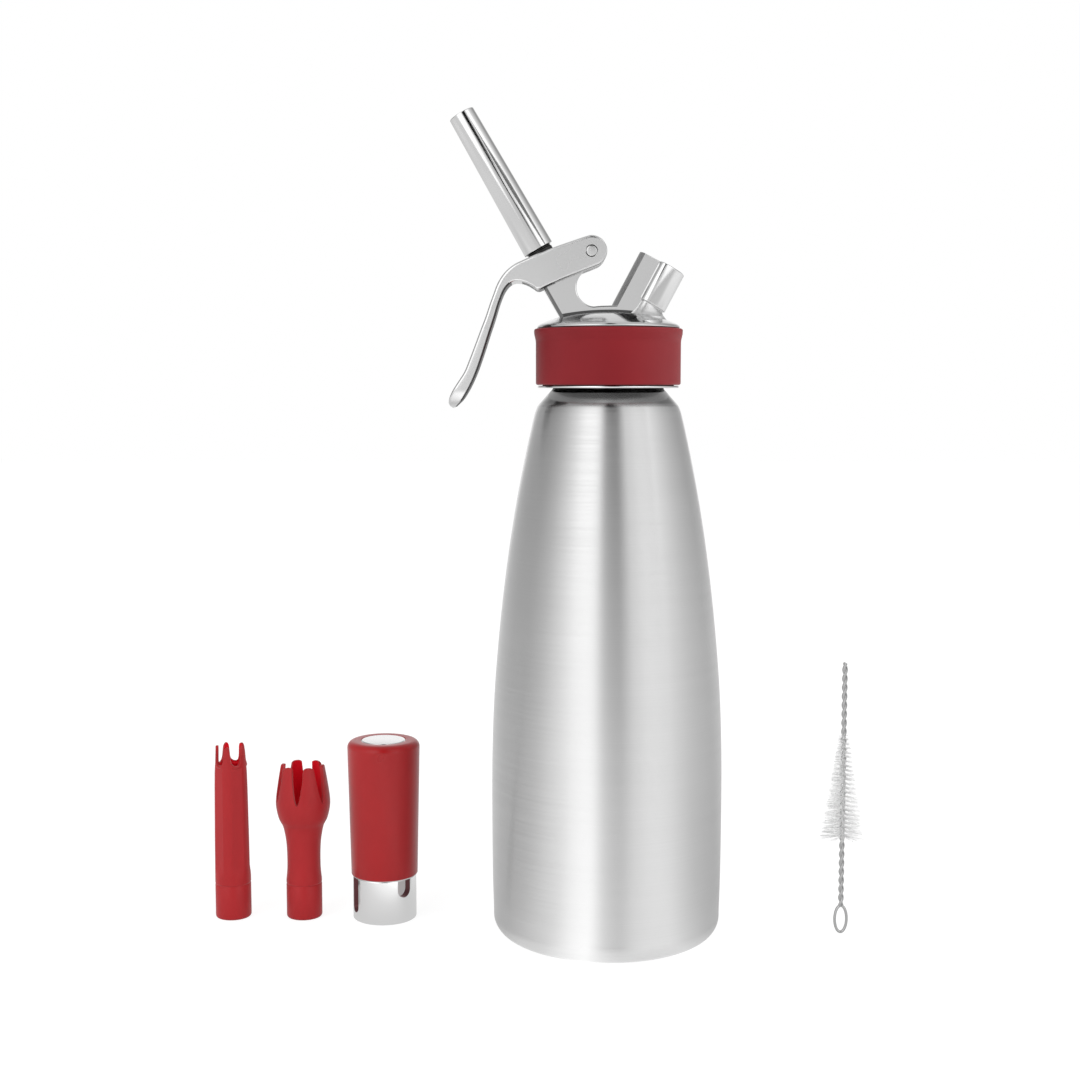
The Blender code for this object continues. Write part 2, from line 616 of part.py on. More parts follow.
def head_body():
    """Make the head casting from its shell, web, port and bosses, less their bores."""
    casting = new_object("head_body", head_shell(), POLISHED)
    cut(casting, helper("web_join", prism(slab_outline(), SLAB_HALF)), 'UNION')
    cut(casting, port(), 'UNION')
    ceiling = (SEAT_Z + CEILING_HEIGHT - VALVE_FOOT[1]) / math.cos(VALVE_TILT)
    boss_top = ceiling + VALVE_BOSS_RADIUS * math.tan(VALVE_TILT)
    boss = rod(VALVE_BOSS_RADIUS, VALVE_BOSS_FOOT, boss_top, SMALL_SEGMENTS, HALF_SHARE)
    cut(casting, helper("valve_boss_join", boss, valve_matrix()), 'UNION')
    inlet_top = (SEAT_Z + CEILING_HEIGHT - PORT_END[1]) / math.cos(PORT_TILT)
    inlet_top += INLET_BOSS_RADIUS * math.tan(PORT_TILT)
    inlet = rod(INLET_BOSS_RADIUS, -inlet_foot(), inlet_top, SMALL_SEGMENTS, HALF_SHARE)
    cut(casting, helper("inlet_boss_join", inlet, port_matrix()), 'UNION')
    cut(casting, helper("valve_bore_cut", valve_bore(), valve_matrix()))
    cut(casting, helper("inlet_bore_cut", inlet_bore(), port_matrix()))
    hole = rod(PIN_RADIUS + GAP, -SLAB_HALF - OVERRUN, SLAB_HALF + OVERRUN)
    cut(casting, helper("pin_hole_cut", hole, pin_matrix()))
    return casting


def grip_band():
    """Make the silicone band, with its flared top lip."""
    bottom = SKIRT_Z + SKIRT_FLANGE + GAP
    top = SEAT_Z + RIM_HEIGHT - GAP
    inner = BAND_SEAT_RADIUS + GAP
    profile = [(inner, bottom), (BAND_RADIUS - BAND_EDGE_ROUND, bottom),
               (BAND_RADIUS, bottom + BAND_EDGE_ROUND), (BAND_RADIUS, top - BAND_LIP_HEIGHT),
               (BAND_LIP_RADIUS, top - BAND_EDGE_ROUND * 2), (BAND_LIP_RADIUS, top - BAND_EDGE_ROUND),
               (BAND_LIP_RADIUS - BAND_EDGE_ROUND, top), (inner, top)]
    return new_object("grip_band", turned(profile), RED)


def head_gasket():
    """Make the flat gasket between the flask's lip and the head."""
    bottom = LIP_HEIGHT + GAP
    body = ring(GASKET_BORE_RADIUS + GAP, HEAD_ROOT_RADIUS - GAP, bottom, bottom + GASKET_THICKNESS,
                ROUND_SEGMENTS)
    return new_object("head_gasket", body, RUBBER)


# Lever

def pin_matrix():
    """Return the pivot's frame: local Z along the pin."""
    return Matrix.Translation((PIVOT[0], 0.0, PIVOT[1])) @ Matrix.Rotation(math.pi / 2, 4, 'X')


def lever_outline():
    """Return the lever's side view about the pivot: cheek, handle back, tip and handle front."""
    back = [(LEVER_REACH * across, LEVER_DROP * up) for across, up in LEVER_BACK_SHARES]
    front = [(LEVER_REACH * across, LEVER_DROP * up) for across, up in LEVER_FRONT_SHARES]
    outline = arc((0.0, 0.0), CHEEK_RADIUS, math.radians(-68.0), math.radians(100.0), 14)
    outline += smooth_through(back) + smooth_through(front)
    return outline


def lever_plan():
    """Return the lever's front view (y, z about the pivot): full width, then a rounded tip."""
    top = CHEEK_RADIUS + OVERRUN
    shoulder = -LEVER_DROP * 0.5
    points = [(LEVER_HALF_WIDTH, top), (LEVER_HALF_WIDTH, shoulder)]
    tip_centre = -LEVER_DROP + TIP_HALF_WIDTH
    points += [(y, z) for y, z in arc((0.0, tip_centre), TIP_HALF_WIDTH, 0.0, -math.pi, 12)]
    points += [(-LEVER_HALF_WIDTH, shoulder), (-LEVER_HALF_WIDTH, top)]
    return points


def fork_cut(above):
    """Return the outline of one of the two cuts that leave the fork's web, about the pivot."""
    far = LEVER_REACH
    web_half = COLLAR_RADIUS + STEM_SLOT_BACK
    side = -FORK_ROOT
    if above:
        return [(side, far), valve_from_pivot_x(side, WEB_TOP), valve_from_pivot_x(far, WEB_TOP), (far, far)]
    crown = [valve_from_pivot(-web_half, WEB_CROWN + WEB_EDGE_RISE),
             valve_from_pivot(-COLLAR_RADIUS / 2, WEB_CROWN + WEB_EDGE_RISE / 4),
             valve_from_pivot(0.0, WEB_CROWN),
             valve_from_pivot(COLLAR_RADIUS / 2, WEB_CROWN + WEB_EDGE_RISE / 4),
             valve_from_pivot(WEB_FRONT, WEB_CROWN + WEB_EDGE_RISE),
             valve_from_pivot(WEB_FRONT, WEB_TOP + OVERRUN)]
    return [(side, -far), (side, crown[0][1])] + crown + [valve_from_pivot_x(far, WEB_TOP + OVERRUN),
                                                         (far, -far)]


def valve_from_pivot(across, along):
    """Return a valve-frame point relative to the pivot."""
    point = valve_point(across, along)
    return (point[0] - PIVOT[0], point[1] - PIVOT[1])


def valve_from_pivot_x(across_x, along):
    """Return the point at a given x, relative to the pivot, on the line at one height up the valve."""
    start = valve_from_pivot(0.0, along)
    return (across_x, start[1] + (across_x - start[0]) * math.tan(VALVE_TILT))


def lever():
    """Make the forked lever, its origin on the pivot."""
    place = Matrix.Translation((PIVOT[0], 0.0, PIVOT[1]))
    body = new_object("lever", prism(lever_outline(), LEVER_HALF_WIDTH), POLISHED, place)
    plan = prism(lever_plan(), LEVER_REACH * 2)
    bmesh.ops.rotate(plan, cent=(0.0, 0.0, 0.0), matrix=Matrix.Rotation(math.pi / 2, 3, 'Z'),
                     verts=plan.verts[:])
    cut(body, helper("lever_plan_cut", plan, place), 'INTERSECT')
    cut(body, helper("fork_below_cut", prism(fork_cut(False), CHEEK_INNER), place))
    cut(body, helper("fork_above_cut", prism(fork_cut(True), CHEEK_INNER), place))
    slot_length = STEM_SLOT_BACK + WEB_FRONT + OVERRUN
    slot_height = WEB_TOP + OVERRUN
    slot = box((slot_length, STEM_SLOT_HALF * 2, slot_height),
               (slot_length / 2 - STEM_SLOT_BACK, 0.0, slot_height / 2 + GAP))
    cut(body, helper("stem_slot_cut", slot, valve_matrix()))
    hole = rod(PIN_RADIUS + GAP, -LEVER_HALF_WIDTH - OVERRUN, LEVER_HALF_WIDTH + OVERRUN)
    cut(body, helper("cheek_hole_cut", hole, pin_matrix()))
    return body


def lever_pin():
    """Make the pivot pin, flush with both cheeks."""
    edge = PIN_RADIUS / 4
    profile = [(0.0, -LEVER_HALF_WIDTH), (PIN_RADIUS - edge, -LEVER_HALF_WIDTH),
               (PIN_RADIUS, -LEVER_HALF_WIDTH + edge), (PIN_RADIUS, LEVER_HALF_WIDTH - edge),
               (PIN_RADIUS - edge, LEVER_HALF_WIDTH), (0.0, LEVER_HALF_WIDTH)]
    return new_object("lever_pin", turned(profile, SMALL_SEGMENTS), POLISHED, pin_matrix())


# Valve

def seal_top():
    """Return the height of the poppet washer's top, just below the boss."""
    return VALVE_BOSS_FOOT - GAP


def valve_stem():
    """Make the hollow stem with its spring collar above, ring groove and poppet below."""
    poppet_top = seal_top() - SEAL_THICKNESS - GAP
    poppet_bottom = poppet_top - POPPET_THICKNESS
    groove = guide_bottom() - STEM_RING_DROP
    groove_radius = STEM_RADIUS - O_RING_GROOVE / 2
    profile = [(0.0, poppet_bottom), (POPPET_RADIUS, poppet_bottom), (POPPET_RADIUS, poppet_top),
               (STEM_RADIUS, poppet_top), (STEM_RADIUS, groove - O_RING_GROOVE),
               (groove_radius, groove - O_RING_GROOVE), (groove_radius, groove + O_RING_GROOVE),
               (STEM_RADIUS, groove + O_RING_GROOVE), (STEM_RADIUS, COLLAR_BOTTOM),
               (COLLAR_RADIUS, COLLAR_BOTTOM), (COLLAR_RADIUS, COLLAR_TOP), (STEM_RADIUS, COLLAR_TOP),
               (STEM_RADIUS, STEM_TOP), (STEM_BORE_RADIUS, STEM_TOP),
               (STEM_BORE_RADIUS, poppet_top + STEM_BORE_RADIUS), (0.0, poppet_top + STEM_BORE_RADIUS)]
    stem = new_object("valve_stem", turned(profile, SMALL_SEGMENTS), STEEL, valve_matrix())
    side_hole = rod(SIDE_HOLE_RADIUS, -STEM_RADIUS * 2, STEM_RADIUS * 2, 10)
    turn = Matrix.Rotation(math.pi / 2, 4, 'X')
    cut(stem, helper("side_hole_cut", side_hole, valve_matrix(poppet_top + SIDE_HOLE_RISE) @ turn))
    return stem


def valve_seal():
    """Make the rubber washer that closes on the boss."""
    top = seal_top()
    body = ring(STEM_RADIUS + GAP, POPPET_RADIUS, top - SEAL_THICKNESS, top)
    return new_object("valve_seal", body, RUBBER, valve_matrix())


def guide_top():
    """Return the height of the guide bush's flange."""
    return SPRING_BORE_FLOOR + GAP + GUIDE_FLANGE


def guide_bottom():
    """Return the height of the guide bush's foot."""
    return SPRING_BORE_FLOOR - GUIDE_LENGTH + GUIDE_FLANGE


def valve_guide():
    """Make the flanged bush that guides the stem and seats the spring."""
    flange = SPRING_BORE_FLOOR + GAP
    inner = STEM_RADIUS + GAP
    outer = VALVE_BORE_RADIUS - GAP
    profile = [(inner, guide_bottom()), (outer, guide_bottom()), (outer, flange),
               (GUIDE_FLANGE_RADIUS, flange), (GUIDE_FLANGE_RADIUS, guide_top()), (inner, guide_top())]
    return new_object("valve_guide", turned(profile, SMALL_SEGMENTS), TIP_RED, valve_matrix())


def valve_ring():
    """Make the O-ring in the stem's groove."""
    centre = STEM_RADIUS - O_RING_GROOVE / 2 + GAP / 2 + O_RING_WIRE
    outer_room = VALVE_BORE_RADIUS - GAP / 2 - centre
    body = o_ring(centre, min(O_RING_WIRE, outer_room), guide_bottom() - STEM_RING_DROP)
    return new_object("valve_ring", body, RUBBER, valve_matrix())


def valve_spring():
    """Make the return spring as one unbroken helix, with a flat-lying turn at each end."""
    bottom = guide_top() + GAP + SPRING_WIRE
    top = COLLAR_BOTTOM - GAP - SPRING_WIRE
    count = SPRING_TURNS * POINTS_PER_TURN
    data = bpy.data.curves.new("valve_spring", 'CURVE')
    data.dimensions = '3D'
    data.bevel_depth = SPRING_WIRE
    data.bevel_resolution = 1
    data.use_fill_caps = True
    data.materials.append(material(STEEL, "valve_spring"))
    wire = data.splines.new('POLY')
    wire.points.add(count)
    for step in range(count + 1):
        share = step / count
        angle = 2 * math.pi * SPRING_TURNS * share
        height = bottom + (top - bottom) * share
        wire.points[step].co = (SPRING_MEAN_RADIUS * math.cos(angle), SPRING_MEAN_RADIUS * math.sin(angle),
                                height, 1.0)
    made = bpy.data.objects.new("valve_spring", data)
    bpy.context.collection.objects.link(made)
    made.matrix_world = valve_matrix()
    print("least gap between spring turns (m):", (top - bottom) / SPRING_TURNS - 2 * SPRING_WIRE)
    return made


# Nozzle

def tip_adapter():
    """Make the adapter that joins nozzle to stem: hexagon foot and round threaded collar."""
    top = ADAPTER_BOTTOM + ADAPTER_HEIGHT
    shelf = ADAPTER_BOTTOM + ADAPTER_HEX_HEIGHT
    stem_seat = STEM_TOP + GAP
    profile = [(STEM_RADIUS + GAP, ADAPTER_BOTTOM + GAP), (ADAPTER_RADIUS, ADAPTER_BOTTOM + GAP),
               (ADAPTER_RADIUS, shelf + O_RING_GROOVE), (ADAPTER_RADIUS - O_RING_GROOVE, shelf + O_RING_GROOVE),
               (ADAPTER_RADIUS - O_RING_GROOVE, shelf + 3 * O_RING_GROOVE),
               (ADAPTER_RADIUS, shelf + 3 * O_RING_GROOVE), (ADAPTER_RADIUS, top),
               (STEM_BORE_RADIUS * 2, top), (STEM_BORE_RADIUS, stem_seat), (STEM_RADIUS + GAP, stem_seat)]
    made = new_object("tip_adapter", turned(profile, SMALL_SEGMENTS), STEEL, valve_matrix())
    foot = ring(STEM_RADIUS + 2 * GAP, ADAPTER_HEX_RADIUS, ADAPTER_BOTTOM, shelf, ADAPTER_HEX_SIDES * 2)
    cut(made, helper("adapter_foot_join", foot, valve_matrix()), 'UNION')
    return made


def nozzle_seal():
    """Make the ring in the adapter's groove."""
    height = ADAPTER_BOTTOM + ADAPTER_HEX_HEIGHT + 2 * O_RING_GROOVE
    centre = ADAPTER_RADIUS - O_RING_GROOVE + GAP / 2 + O_RING_WIRE
    return new_object("nozzle_seal", o_ring(centre, O_RING_WIRE, height), RUBBER, valve_matrix())


def nozzle():
    """Make the tapered steel nozzle, its edges rounded."""
    top = NOZZLE_BOTTOM + NOZZLE_LENGTH
    profile = [(NOZZLE_BASE_RADIUS - NOZZLE_WALL, NOZZLE_BOTTOM),
               (NOZZLE_BASE_RADIUS - NOZZLE_EDGE, NOZZLE_BOTTOM),
               (NOZZLE_BASE_RADIUS, NOZZLE_BOTTOM + NOZZLE_EDGE),
               (NOZZLE_TIP_RADIUS, top - NOZZLE_EDGE / 2), (NOZZLE_TIP_RADIUS - NOZZLE_EDGE / 2, top),
               (NOZZLE_TIP_RADIUS - NOZZLE_WALL, top)]
    return new_object("nozzle", turned(profile, ROUND_SEGMENTS), POLISHED, valve_matrix())


# Charger port fittings

def piercing_pin():
    """Make the hollow needle that opens a charger."""
    bottom = -PORT_BORE_DEPTH - NEEDLE_FOOT - GAP
    shelf = bottom + NEEDLE_FOOT
    point = shelf + NEEDLE_LENGTH
    profile = [(NEEDLE_BORE_RADIUS, bottom), (NEEDLE_FOOT_RADIUS, bottom), (NEEDLE_FOOT_RADIUS, shelf),
               (NEEDLE_RADIUS, shelf), (NEEDLE_RADIUS, point - NEEDLE_POINT),
               (NEEDLE_BORE_RADIUS + GAP / 2, point), (NEEDLE_BORE_RADIUS, point)]
    return new_object("piercing_pin", turned(profile, 12), STEEL, port_matrix())


def port_seal():
    """Make the washer that a charger's neck presses on."""
    bottom = -PORT_BORE_DEPTH + GAP
    body = ring(PORT_SEAL_BORE, PORT_BORE_RADIUS - GAP, bottom, bottom + PORT_SEAL_THICKNESS)
    return new_object("port_seal", body, RUBBER, port_matrix())


def check_valve():
    """Make the rubber check valve at the inlet's inner end."""
    bottom = -inlet_foot() + INLET_SCREW_LENGTH + GAP
    body = ring(INLET_RADIUS / 2, CHECK_RADIUS, bottom, bottom + CHECK_THICKNESS, 16)
    return new_object("check_valve", body, RUBBER, port_matrix())


def inlet_screw():
    """Make the hollow screw that holds the check valve."""
    foot = -inlet_foot()
    flange = foot - GAP
    profile = [(INLET_RADIUS, flange - INLET_SCREW_FLANGE), (INLET_SCREW_HEAD_RADIUS, flange - INLET_SCREW_FLANGE),
               (INLET_SCREW_HEAD_RADIUS, flange), (CHECK_RADIUS, flange),
               (CHECK_RADIUS, foot + INLET_SCREW_LENGTH), (INLET_RADIUS, foot + INLET_SCREW_LENGTH)]
    return new_object("inlet_screw", turned(profile, 16), STEEL, port_matrix())


# Charger holder

def holder_matrix():
    """Return the charger holder's place."""
    return Matrix.Translation((HOLDER_X, ROW_Y, 0.0))


def holder_shell():
    """Make the steel holder: open mouth below, gas slots in the skirt, bare end disc above."""
    ledge = SLEEVE_BOTTOM - GAP
    end = HOLDER_HEIGHT - HOLDER_DISC_RISE
    seat_top = end - SLEEVE_END_THICKNESS - GAP
    bore_top = end - HOLDER_END_THICKNESS
    profile = [(HOLDER_BORE_RADIUS, 0.0), (HOLDER_RADIUS - HOLDER_EDGE, 0.0), (HOLDER_RADIUS, HOLDER_EDGE),
               (HOLDER_RADIUS, ledge), (HOLDER_SEAT_RADIUS, ledge),
               (HOLDER_SEAT_RADIUS, seat_top - SLEEVE_END_ROUND / 2),
               (HOLDER_SEAT_RADIUS - SLEEVE_END_ROUND / 2, seat_top),
               (HOLDER_DISC_RADIUS, seat_top), (HOLDER_DISC_RADIUS, HOLDER_HEIGHT - HOLDER_EDGE),
               (HOLDER_DISC_RADIUS - HOLDER_EDGE, HOLDER_HEIGHT), (0.0, HOLDER_HEIGHT), (0.0, bore_top),
               (HOLDER_BORE_RADIUS - SLEEVE_END_ROUND, bore_top),
               (HOLDER_BORE_RADIUS, bore_top - SLEEVE_END_ROUND)]
    shell = new_object("holder_shell", half_open_turned(profile), POLISHED, holder_matrix())
    slots = ((SIDE_SLOT_ANGLE, SIDE_SLOT_BOTTOM, SIDE_SLOT_WIDTH, "side"),
             (FRONT_SLOT_ANGLE, FRONT_SLOT_BOTTOM, FRONT_SLOT_WIDTH, "front"))
    for angle, bottom, width, word in slots:
        cutter = helper(f"{word}_slot_cut", slot_body(bottom, width), holder_matrix())
        cutter.matrix_world = holder_matrix() @ Matrix.Rotation(angle + math.pi / 2, 4, 'Z')
        cut(shell, cutter)
    return shell


def half_open_turned(profile):
    """Turn a profile that touches the axis in the middle of its run."""
    start = next(number for number, row in enumerate(profile) if row[0] == 0)
    return turned(profile[start + 1:] + profile[:start + 1])


def slot_body(bottom, width):
    """Return a round-ended slot cutter that faces -Y, up to the sleeve's foot."""
    half = width / 2
    outline = arc((0.0, bottom + half), half, math.pi, 2 * math.pi, 8)
    top = SLEEVE_BOTTOM - 2 * GAP
    outline += [(half, top), (-half, top)]
    body = prism(outline, HOLDER_RADIUS / 2)
    middle = -(HOLDER_BORE_RADIUS + HOLDER_RADIUS) / 2
    bmesh.ops.translate(body, vec=(0.0, middle, 0.0), verts=body.verts[:])
    return body


def holder_sleeve():
    """Make the silicone sleeve, wider at the top, its end closed in round the disc."""
    inner = HOLDER_SEAT_RADIUS + GAP
    end = HOLDER_HEIGHT - HOLDER_DISC_RISE
    inner_top = end - SLEEVE_END_THICKNESS
    opening = HOLDER_DISC_RADIUS + GAP
    corner = arc((SLEEVE_TOP_RADIUS - SLEEVE_END_ROUND, end - SLEEVE_END_ROUND), SLEEVE_END_ROUND,
                 0.0, math.pi / 2, 5)
    profile = [(inner, SLEEVE_BOTTOM), (SLEEVE_FOOT_RADIUS - GAP, SLEEVE_BOTTOM),
               (SLEEVE_FOOT_RADIUS, SLEEVE_BOTTOM + GAP)]
    profile += corner + [(opening, end), (opening, inner_top)]
    profile += [(inner - SLEEVE_END_ROUND / 2, inner_top), (inner, inner_top - SLEEVE_END_ROUND / 2)]
    return new_object("holder_sleeve", turned(profile), RED, holder_matrix())


# Decorator tips

def crowned_tube(outer, inner, columns, place_of):
    """Return a tube whose top edge varies round it.

    outer and inner hold rows from the foot up; columns holds the angles; place_of gives the radius
    and the height of a row at an angle.
    """
    body = bmesh.new()
    rings = []
    for row in outer + inner[::-1]:
        ring_verts = []
        for angle in columns:
            reach, level = place_of(row, angle)
            ring_verts.append(body.verts.new((reach * math.cos(angle), reach * math.sin(angle), level)))
        rings.append(ring_verts)
    for lower, upper in zip(rings, rings[1:] + rings[:1]):
        join_rings(body, lower, upper)
    return body


def tooth_columns(count, turn, edge):
    """Return sorted angles: an edge's marks (shares of half a pitch) on both sides of each tooth."""
    half = math.pi / count
    marks = [mark for mark, _ in edge]
    angles = []
    for tooth in range(count):
        centre = turn + 2 * half * tooth
        angles += [centre - half * mark for mark in marks[:0:-1]]
        angles += [centre + half * mark for mark in marks[:-1]]
    return angles


def tooth_share(angle, count, turn):
    """Return how far an angle is from its nearest tooth's centre, as a share of half a pitch."""
    half = math.pi / count
    return abs((angle - turn + half) % (2 * half) - half) / half


def edge_height(share, edge):
    """Return the height of a tooth's edge, as a share of the tooth, at a share of half a pitch."""
    lower, upper = next(pair for pair in zip(edge, edge[1:]) if share <= pair[1][0] + 1e-6)
    part = (share - lower[0]) / (upper[0] - lower[0])
    return lower[1] + (upper[1] - lower[1]) * part


def straight_place(row, angle):
    """Return the radius and height of a row of the straight tip, with its five round-topped prongs."""
    radius, height, rises = row
    if rises:
        notch = STRAIGHT_HEIGHT * STRAIGHT_NOTCH_SHARE
        share = tooth_share(angle, STRAIGHT_PRONGS, STRAIGHT_TURN)
        height = notch + (STRAIGHT_HEIGHT - notch) * edge_height(share, STRAIGHT_EDGE)
    return radius * straight_radius(angle, height), height


def straight_radius(angle, level):
    """Return the radius factor of the straight tip: a shallow flat under each notch."""
    if level <= TIP_RING_HEIGHT + TIP_RING_WIDTH or level > STRAIGHT_HEIGHT * STRAIGHT_NOTCH_SHARE:
        return 1.0
    offset = (1 - tooth_share(angle, STRAIGHT_PRONGS, STRAIGHT_TURN)) * math.pi / STRAIGHT_PRONGS
    return min(1.0, STRAIGHT_FLAT_SHARE / math.cos(offset))


def tip_foot_rows():
    """Return the outer rows that both tips share: rounded foot, base and ring line."""
    ring_top = TIP_RING_HEIGHT + TIP_RING_WIDTH
    return [(TIP_RADIUS - TIP_FOOT_ROUND, 0.0, False), (TIP_RADIUS, TIP_FOOT_ROUND, False),
            (TIP_RADIUS, TIP_RING_HEIGHT, False),
            (TIP_RADIUS - TIP_RING_DEPTH, TIP_RING_HEIGHT + TIP_RING_WIDTH / 2, False),
            (TIP_RADIUS, ring_top, False)]


def tip_bore_rows():
    """Return the inner rows at the foot: a socket for the steel insert, then a step in."""
    socket = TIP_RADIUS - TIP_WALL
    top = INSERT_FOOT + INSERT_HEIGHT + GAP
    return [(socket, 0.0, False), (socket, top, False), (socket - INSERT_WALL, top, False)]


def straight_rows(inset, shares):
    """Return the straight tip's rows above the ring, set in by the wall for the bore."""
    notch = STRAIGHT_HEIGHT * STRAIGHT_NOTCH_SHARE
    rows = [(TIP_RADIUS * radius - inset, STRAIGHT_HEIGHT * height, False) for radius, height in shares]
    return rows + [(STRAIGHT_MOUTH_RADIUS - inset, notch - GAP, False),
                   (STRAIGHT_MOUTH_RADIUS - inset, 1.0, True)]


def straight_tip():
    """Make the straight decorator tip."""
    outer = tip_foot_rows() + straight_rows(0.0, STRAIGHT_SHARES)
    inner = tip_bore_rows() + straight_rows(TIP_WALL, STRAIGHT_SHARES[1:])
    columns = tooth_columns(STRAIGHT_PRONGS, STRAIGHT_TURN, STRAIGHT_EDGE)
    body = crowned_tube(outer, inner, columns, straight_place)
    place = Matrix.Translation((STRAIGHT_X, ROW_Y, 0.0))
    return new_object("straight_tip", body, TIP_RED, place)


def tulip_side(height):
    """Return the radius of the tulip tip's bulb at a height, straight from one row to the next."""
    share = height / TULIP_HEIGHT
    lower, upper = next(pair for pair in zip(TULIP_SHARES, TULIP_SHARES[1:]) if share <= pair[1][1] + 1e-6)
    part = (share - lower[1]) / (upper[1] - lower[1])
    return TIP_RADIUS * (lower[0] + (upper[0] - lower[0]) * part)


def tulip_place(row, angle):
    """Return the radius and height of a row of the tulip tip.

    A row that rises holds the inset and its share of the way from the last fixed row to the top
    edge: six petals with slits between them. It stays on the bulb's side.
    """
    radius, height, rises = row
    if not rises:
        return radius, height
    notch = TULIP_HEIGHT * TULIP_NOTCH_SHARE
    share = tooth_share(angle, TULIP_PETALS, TULIP_TURN)
    top = notch + (TULIP_HEIGHT - notch) * edge_height(share, TULIP_EDGE)
    base = TULIP_HEIGHT * TULIP_SHARES[TULIP_FIXED_ROWS - 1][1]
    level = base + (top - base) * height
    return tulip_side(level) - radius, level


def tulip_rows(inset):
    """Return the bulb's rows above the ring, set in by the wall for the bore."""
    base = TULIP_SHARES[TULIP_FIXED_ROWS - 1][1]
    fixed = [(TIP_RADIUS * radius - inset, height * TULIP_HEIGHT, False)
             for radius, height in TULIP_SHARES[:TULIP_FIXED_ROWS]]
    return fixed + [(inset, (height - base) / (1 - base), True)
                    for radius, height in TULIP_SHARES[TULIP_FIXED_ROWS:]]


def tulip_tip():
    """Make the tulip decorator tip."""
    outer = tip_foot_rows() + tulip_rows(0.0)
    inner = tip_bore_rows() + tulip_rows(TIP_WALL)[::2]
    columns = tooth_columns(TULIP_PETALS, TULIP_TURN, TULIP_EDGE)
    body = crowned_tube(outer, inner, columns, tulip_place)
    place = Matrix.Translation((TULIP_X, ROW_Y, 0.0))
    return new_object("tulip_tip", body, TIP_RED, place)


def thread_insert(name, place_x):
    """Make the steel thread insert in a tip's foot."""
    outer = TIP_RADIUS - TIP_WALL - GAP
    body = ring(outer - INSERT_WALL, outer, INSERT_FOOT, INSERT_FOOT + INSERT_HEIGHT, 24)
    return new_object(name, body, STEEL, Matrix.Translation((place_x, ROW_Y, 0.0)))


# Brush

def brush_matrix():
    """Return the brush's place."""
    return Matrix.Translation((BRUSH_X, BRUSH_Y, 0.0))


def brush_stem():
    """Make the stem: twisted wires above and below a thinner core, on a closed loop."""
    profile = [(0.0, LOOP_HEIGHT), (BRUSH_STEM_RADIUS, LOOP_HEIGHT), (BRUSH_STEM_RADIUS, BRISTLE_BOTTOM - GAP),
               (BRUSH_CORE_RADIUS, BRISTLE_BOTTOM - GAP), (BRUSH_CORE_RADIUS, BRISTLE_TOP + GAP),
               (BRUSH_STEM_RADIUS, BRISTLE_TOP + GAP), (BRUSH_STEM_RADIUS, BRUSH_HEIGHT), (0.0, BRUSH_HEIGHT)]
    stem = new_object("brush_stem", turned(profile, 10), STEEL, brush_matrix())
    cut(stem, helper("loop_join", loop_body(), brush_matrix()), 'UNION')
    return stem


def loop_body():
    """Return the wire loop under the stem, its foot flat on the table."""
    body = bmesh.new()
    steps = 20
    sides = 6
    rings = []
    half_height = (LOOP_HEIGHT + BRUSH_WIRE_RADIUS) / 2
    for step in range(steps):
        angle = 2 * math.pi * step / steps
        ring_verts = []
        for side in range(sides):
            turn = 2 * math.pi * side / sides
            reach = BRUSH_WIRE_RADIUS * math.cos(turn)
            x = (LOOP_RADIUS + reach) * math.cos(angle)
            z = half_height + (half_height - BRUSH_WIRE_RADIUS + reach) * math.sin(angle)
            ring_verts.append(body.verts.new((x, BRUSH_WIRE_RADIUS * math.sin(turn), z)))
        rings.append(ring_verts)
    for lower, upper in zip(rings, rings[1:] + rings[:1]):
        join_rings(body, lower, upper)
    return body


def brush_bristles():
    """Make the cone of bristles, each grown out of a face of one thin sleeve."""
    random.seed(SEED)
    inner = BRUSH_CORE_RADIUS + GAP
    profile = [(inner, BRISTLE_BOTTOM)]
    for row in range(BRISTLE_ROWS + 1):
        height = BRISTLE_BOTTOM + (BRISTLE_TOP - BRISTLE_BOTTOM) * row / BRISTLE_ROWS
        profile.append((BRISTLE_SLEEVE_RADIUS, height))
    profile.append((inner, BRISTLE_TOP))
    body = turned(profile, BRISTLE_COLUMNS)
    bmesh.ops.recalc_face_normals(body, faces=body.faces[:])
    chosen = []
    for face in body.faces:
        centre = face.calc_center_median()
        reach = math.hypot(centre.x, centre.y)
        if reach > (inner + BRISTLE_SLEEVE_RADIUS) / 2 and abs(face.normal.z) < 0.5:
            column = int(math.atan2(centre.y, centre.x) % (2 * math.pi) / (2 * math.pi) * BRISTLE_COLUMNS)
            row = int((centre.z - BRISTLE_BOTTOM) / (BRISTLE_TOP - BRISTLE_BOTTOM) * BRISTLE_ROWS)
            if (row + column) % 2 == 0:
                chosen.append(face)
    for face in chosen:
        grow_bristle(body, face)
    print("bristles:", len(chosen))
    return new_object("brush_bristles", body, BRISTLE, brush_matrix())


def grow_bristle(body, face):
    """Draw the middle of one face out to a bristle's tip, longer toward the bottom of the cone."""
    centre = face.calc_center_median()
    share = (BRISTLE_TOP - centre.z) / (BRISTLE_TOP - BRISTLE_BOTTOM)
    reach = BRISTLE_SHORT + (BRISTLE_LONG - BRISTLE_SHORT) * share
    length = (reach - BRISTLE_SLEEVE_RADIUS) * random.uniform(BRISTLE_SHORTEST_SHARE, 1.0)
    outward = Vector((centre.x, centre.y, 0.0)).normalized()
    tip = bmesh.ops.poke(body, faces=[face])["verts"][0]
    tip.co = centre + outward * length + Vector((0.0, 0.0, -length * BRISTLE_DROOP_SHARE))


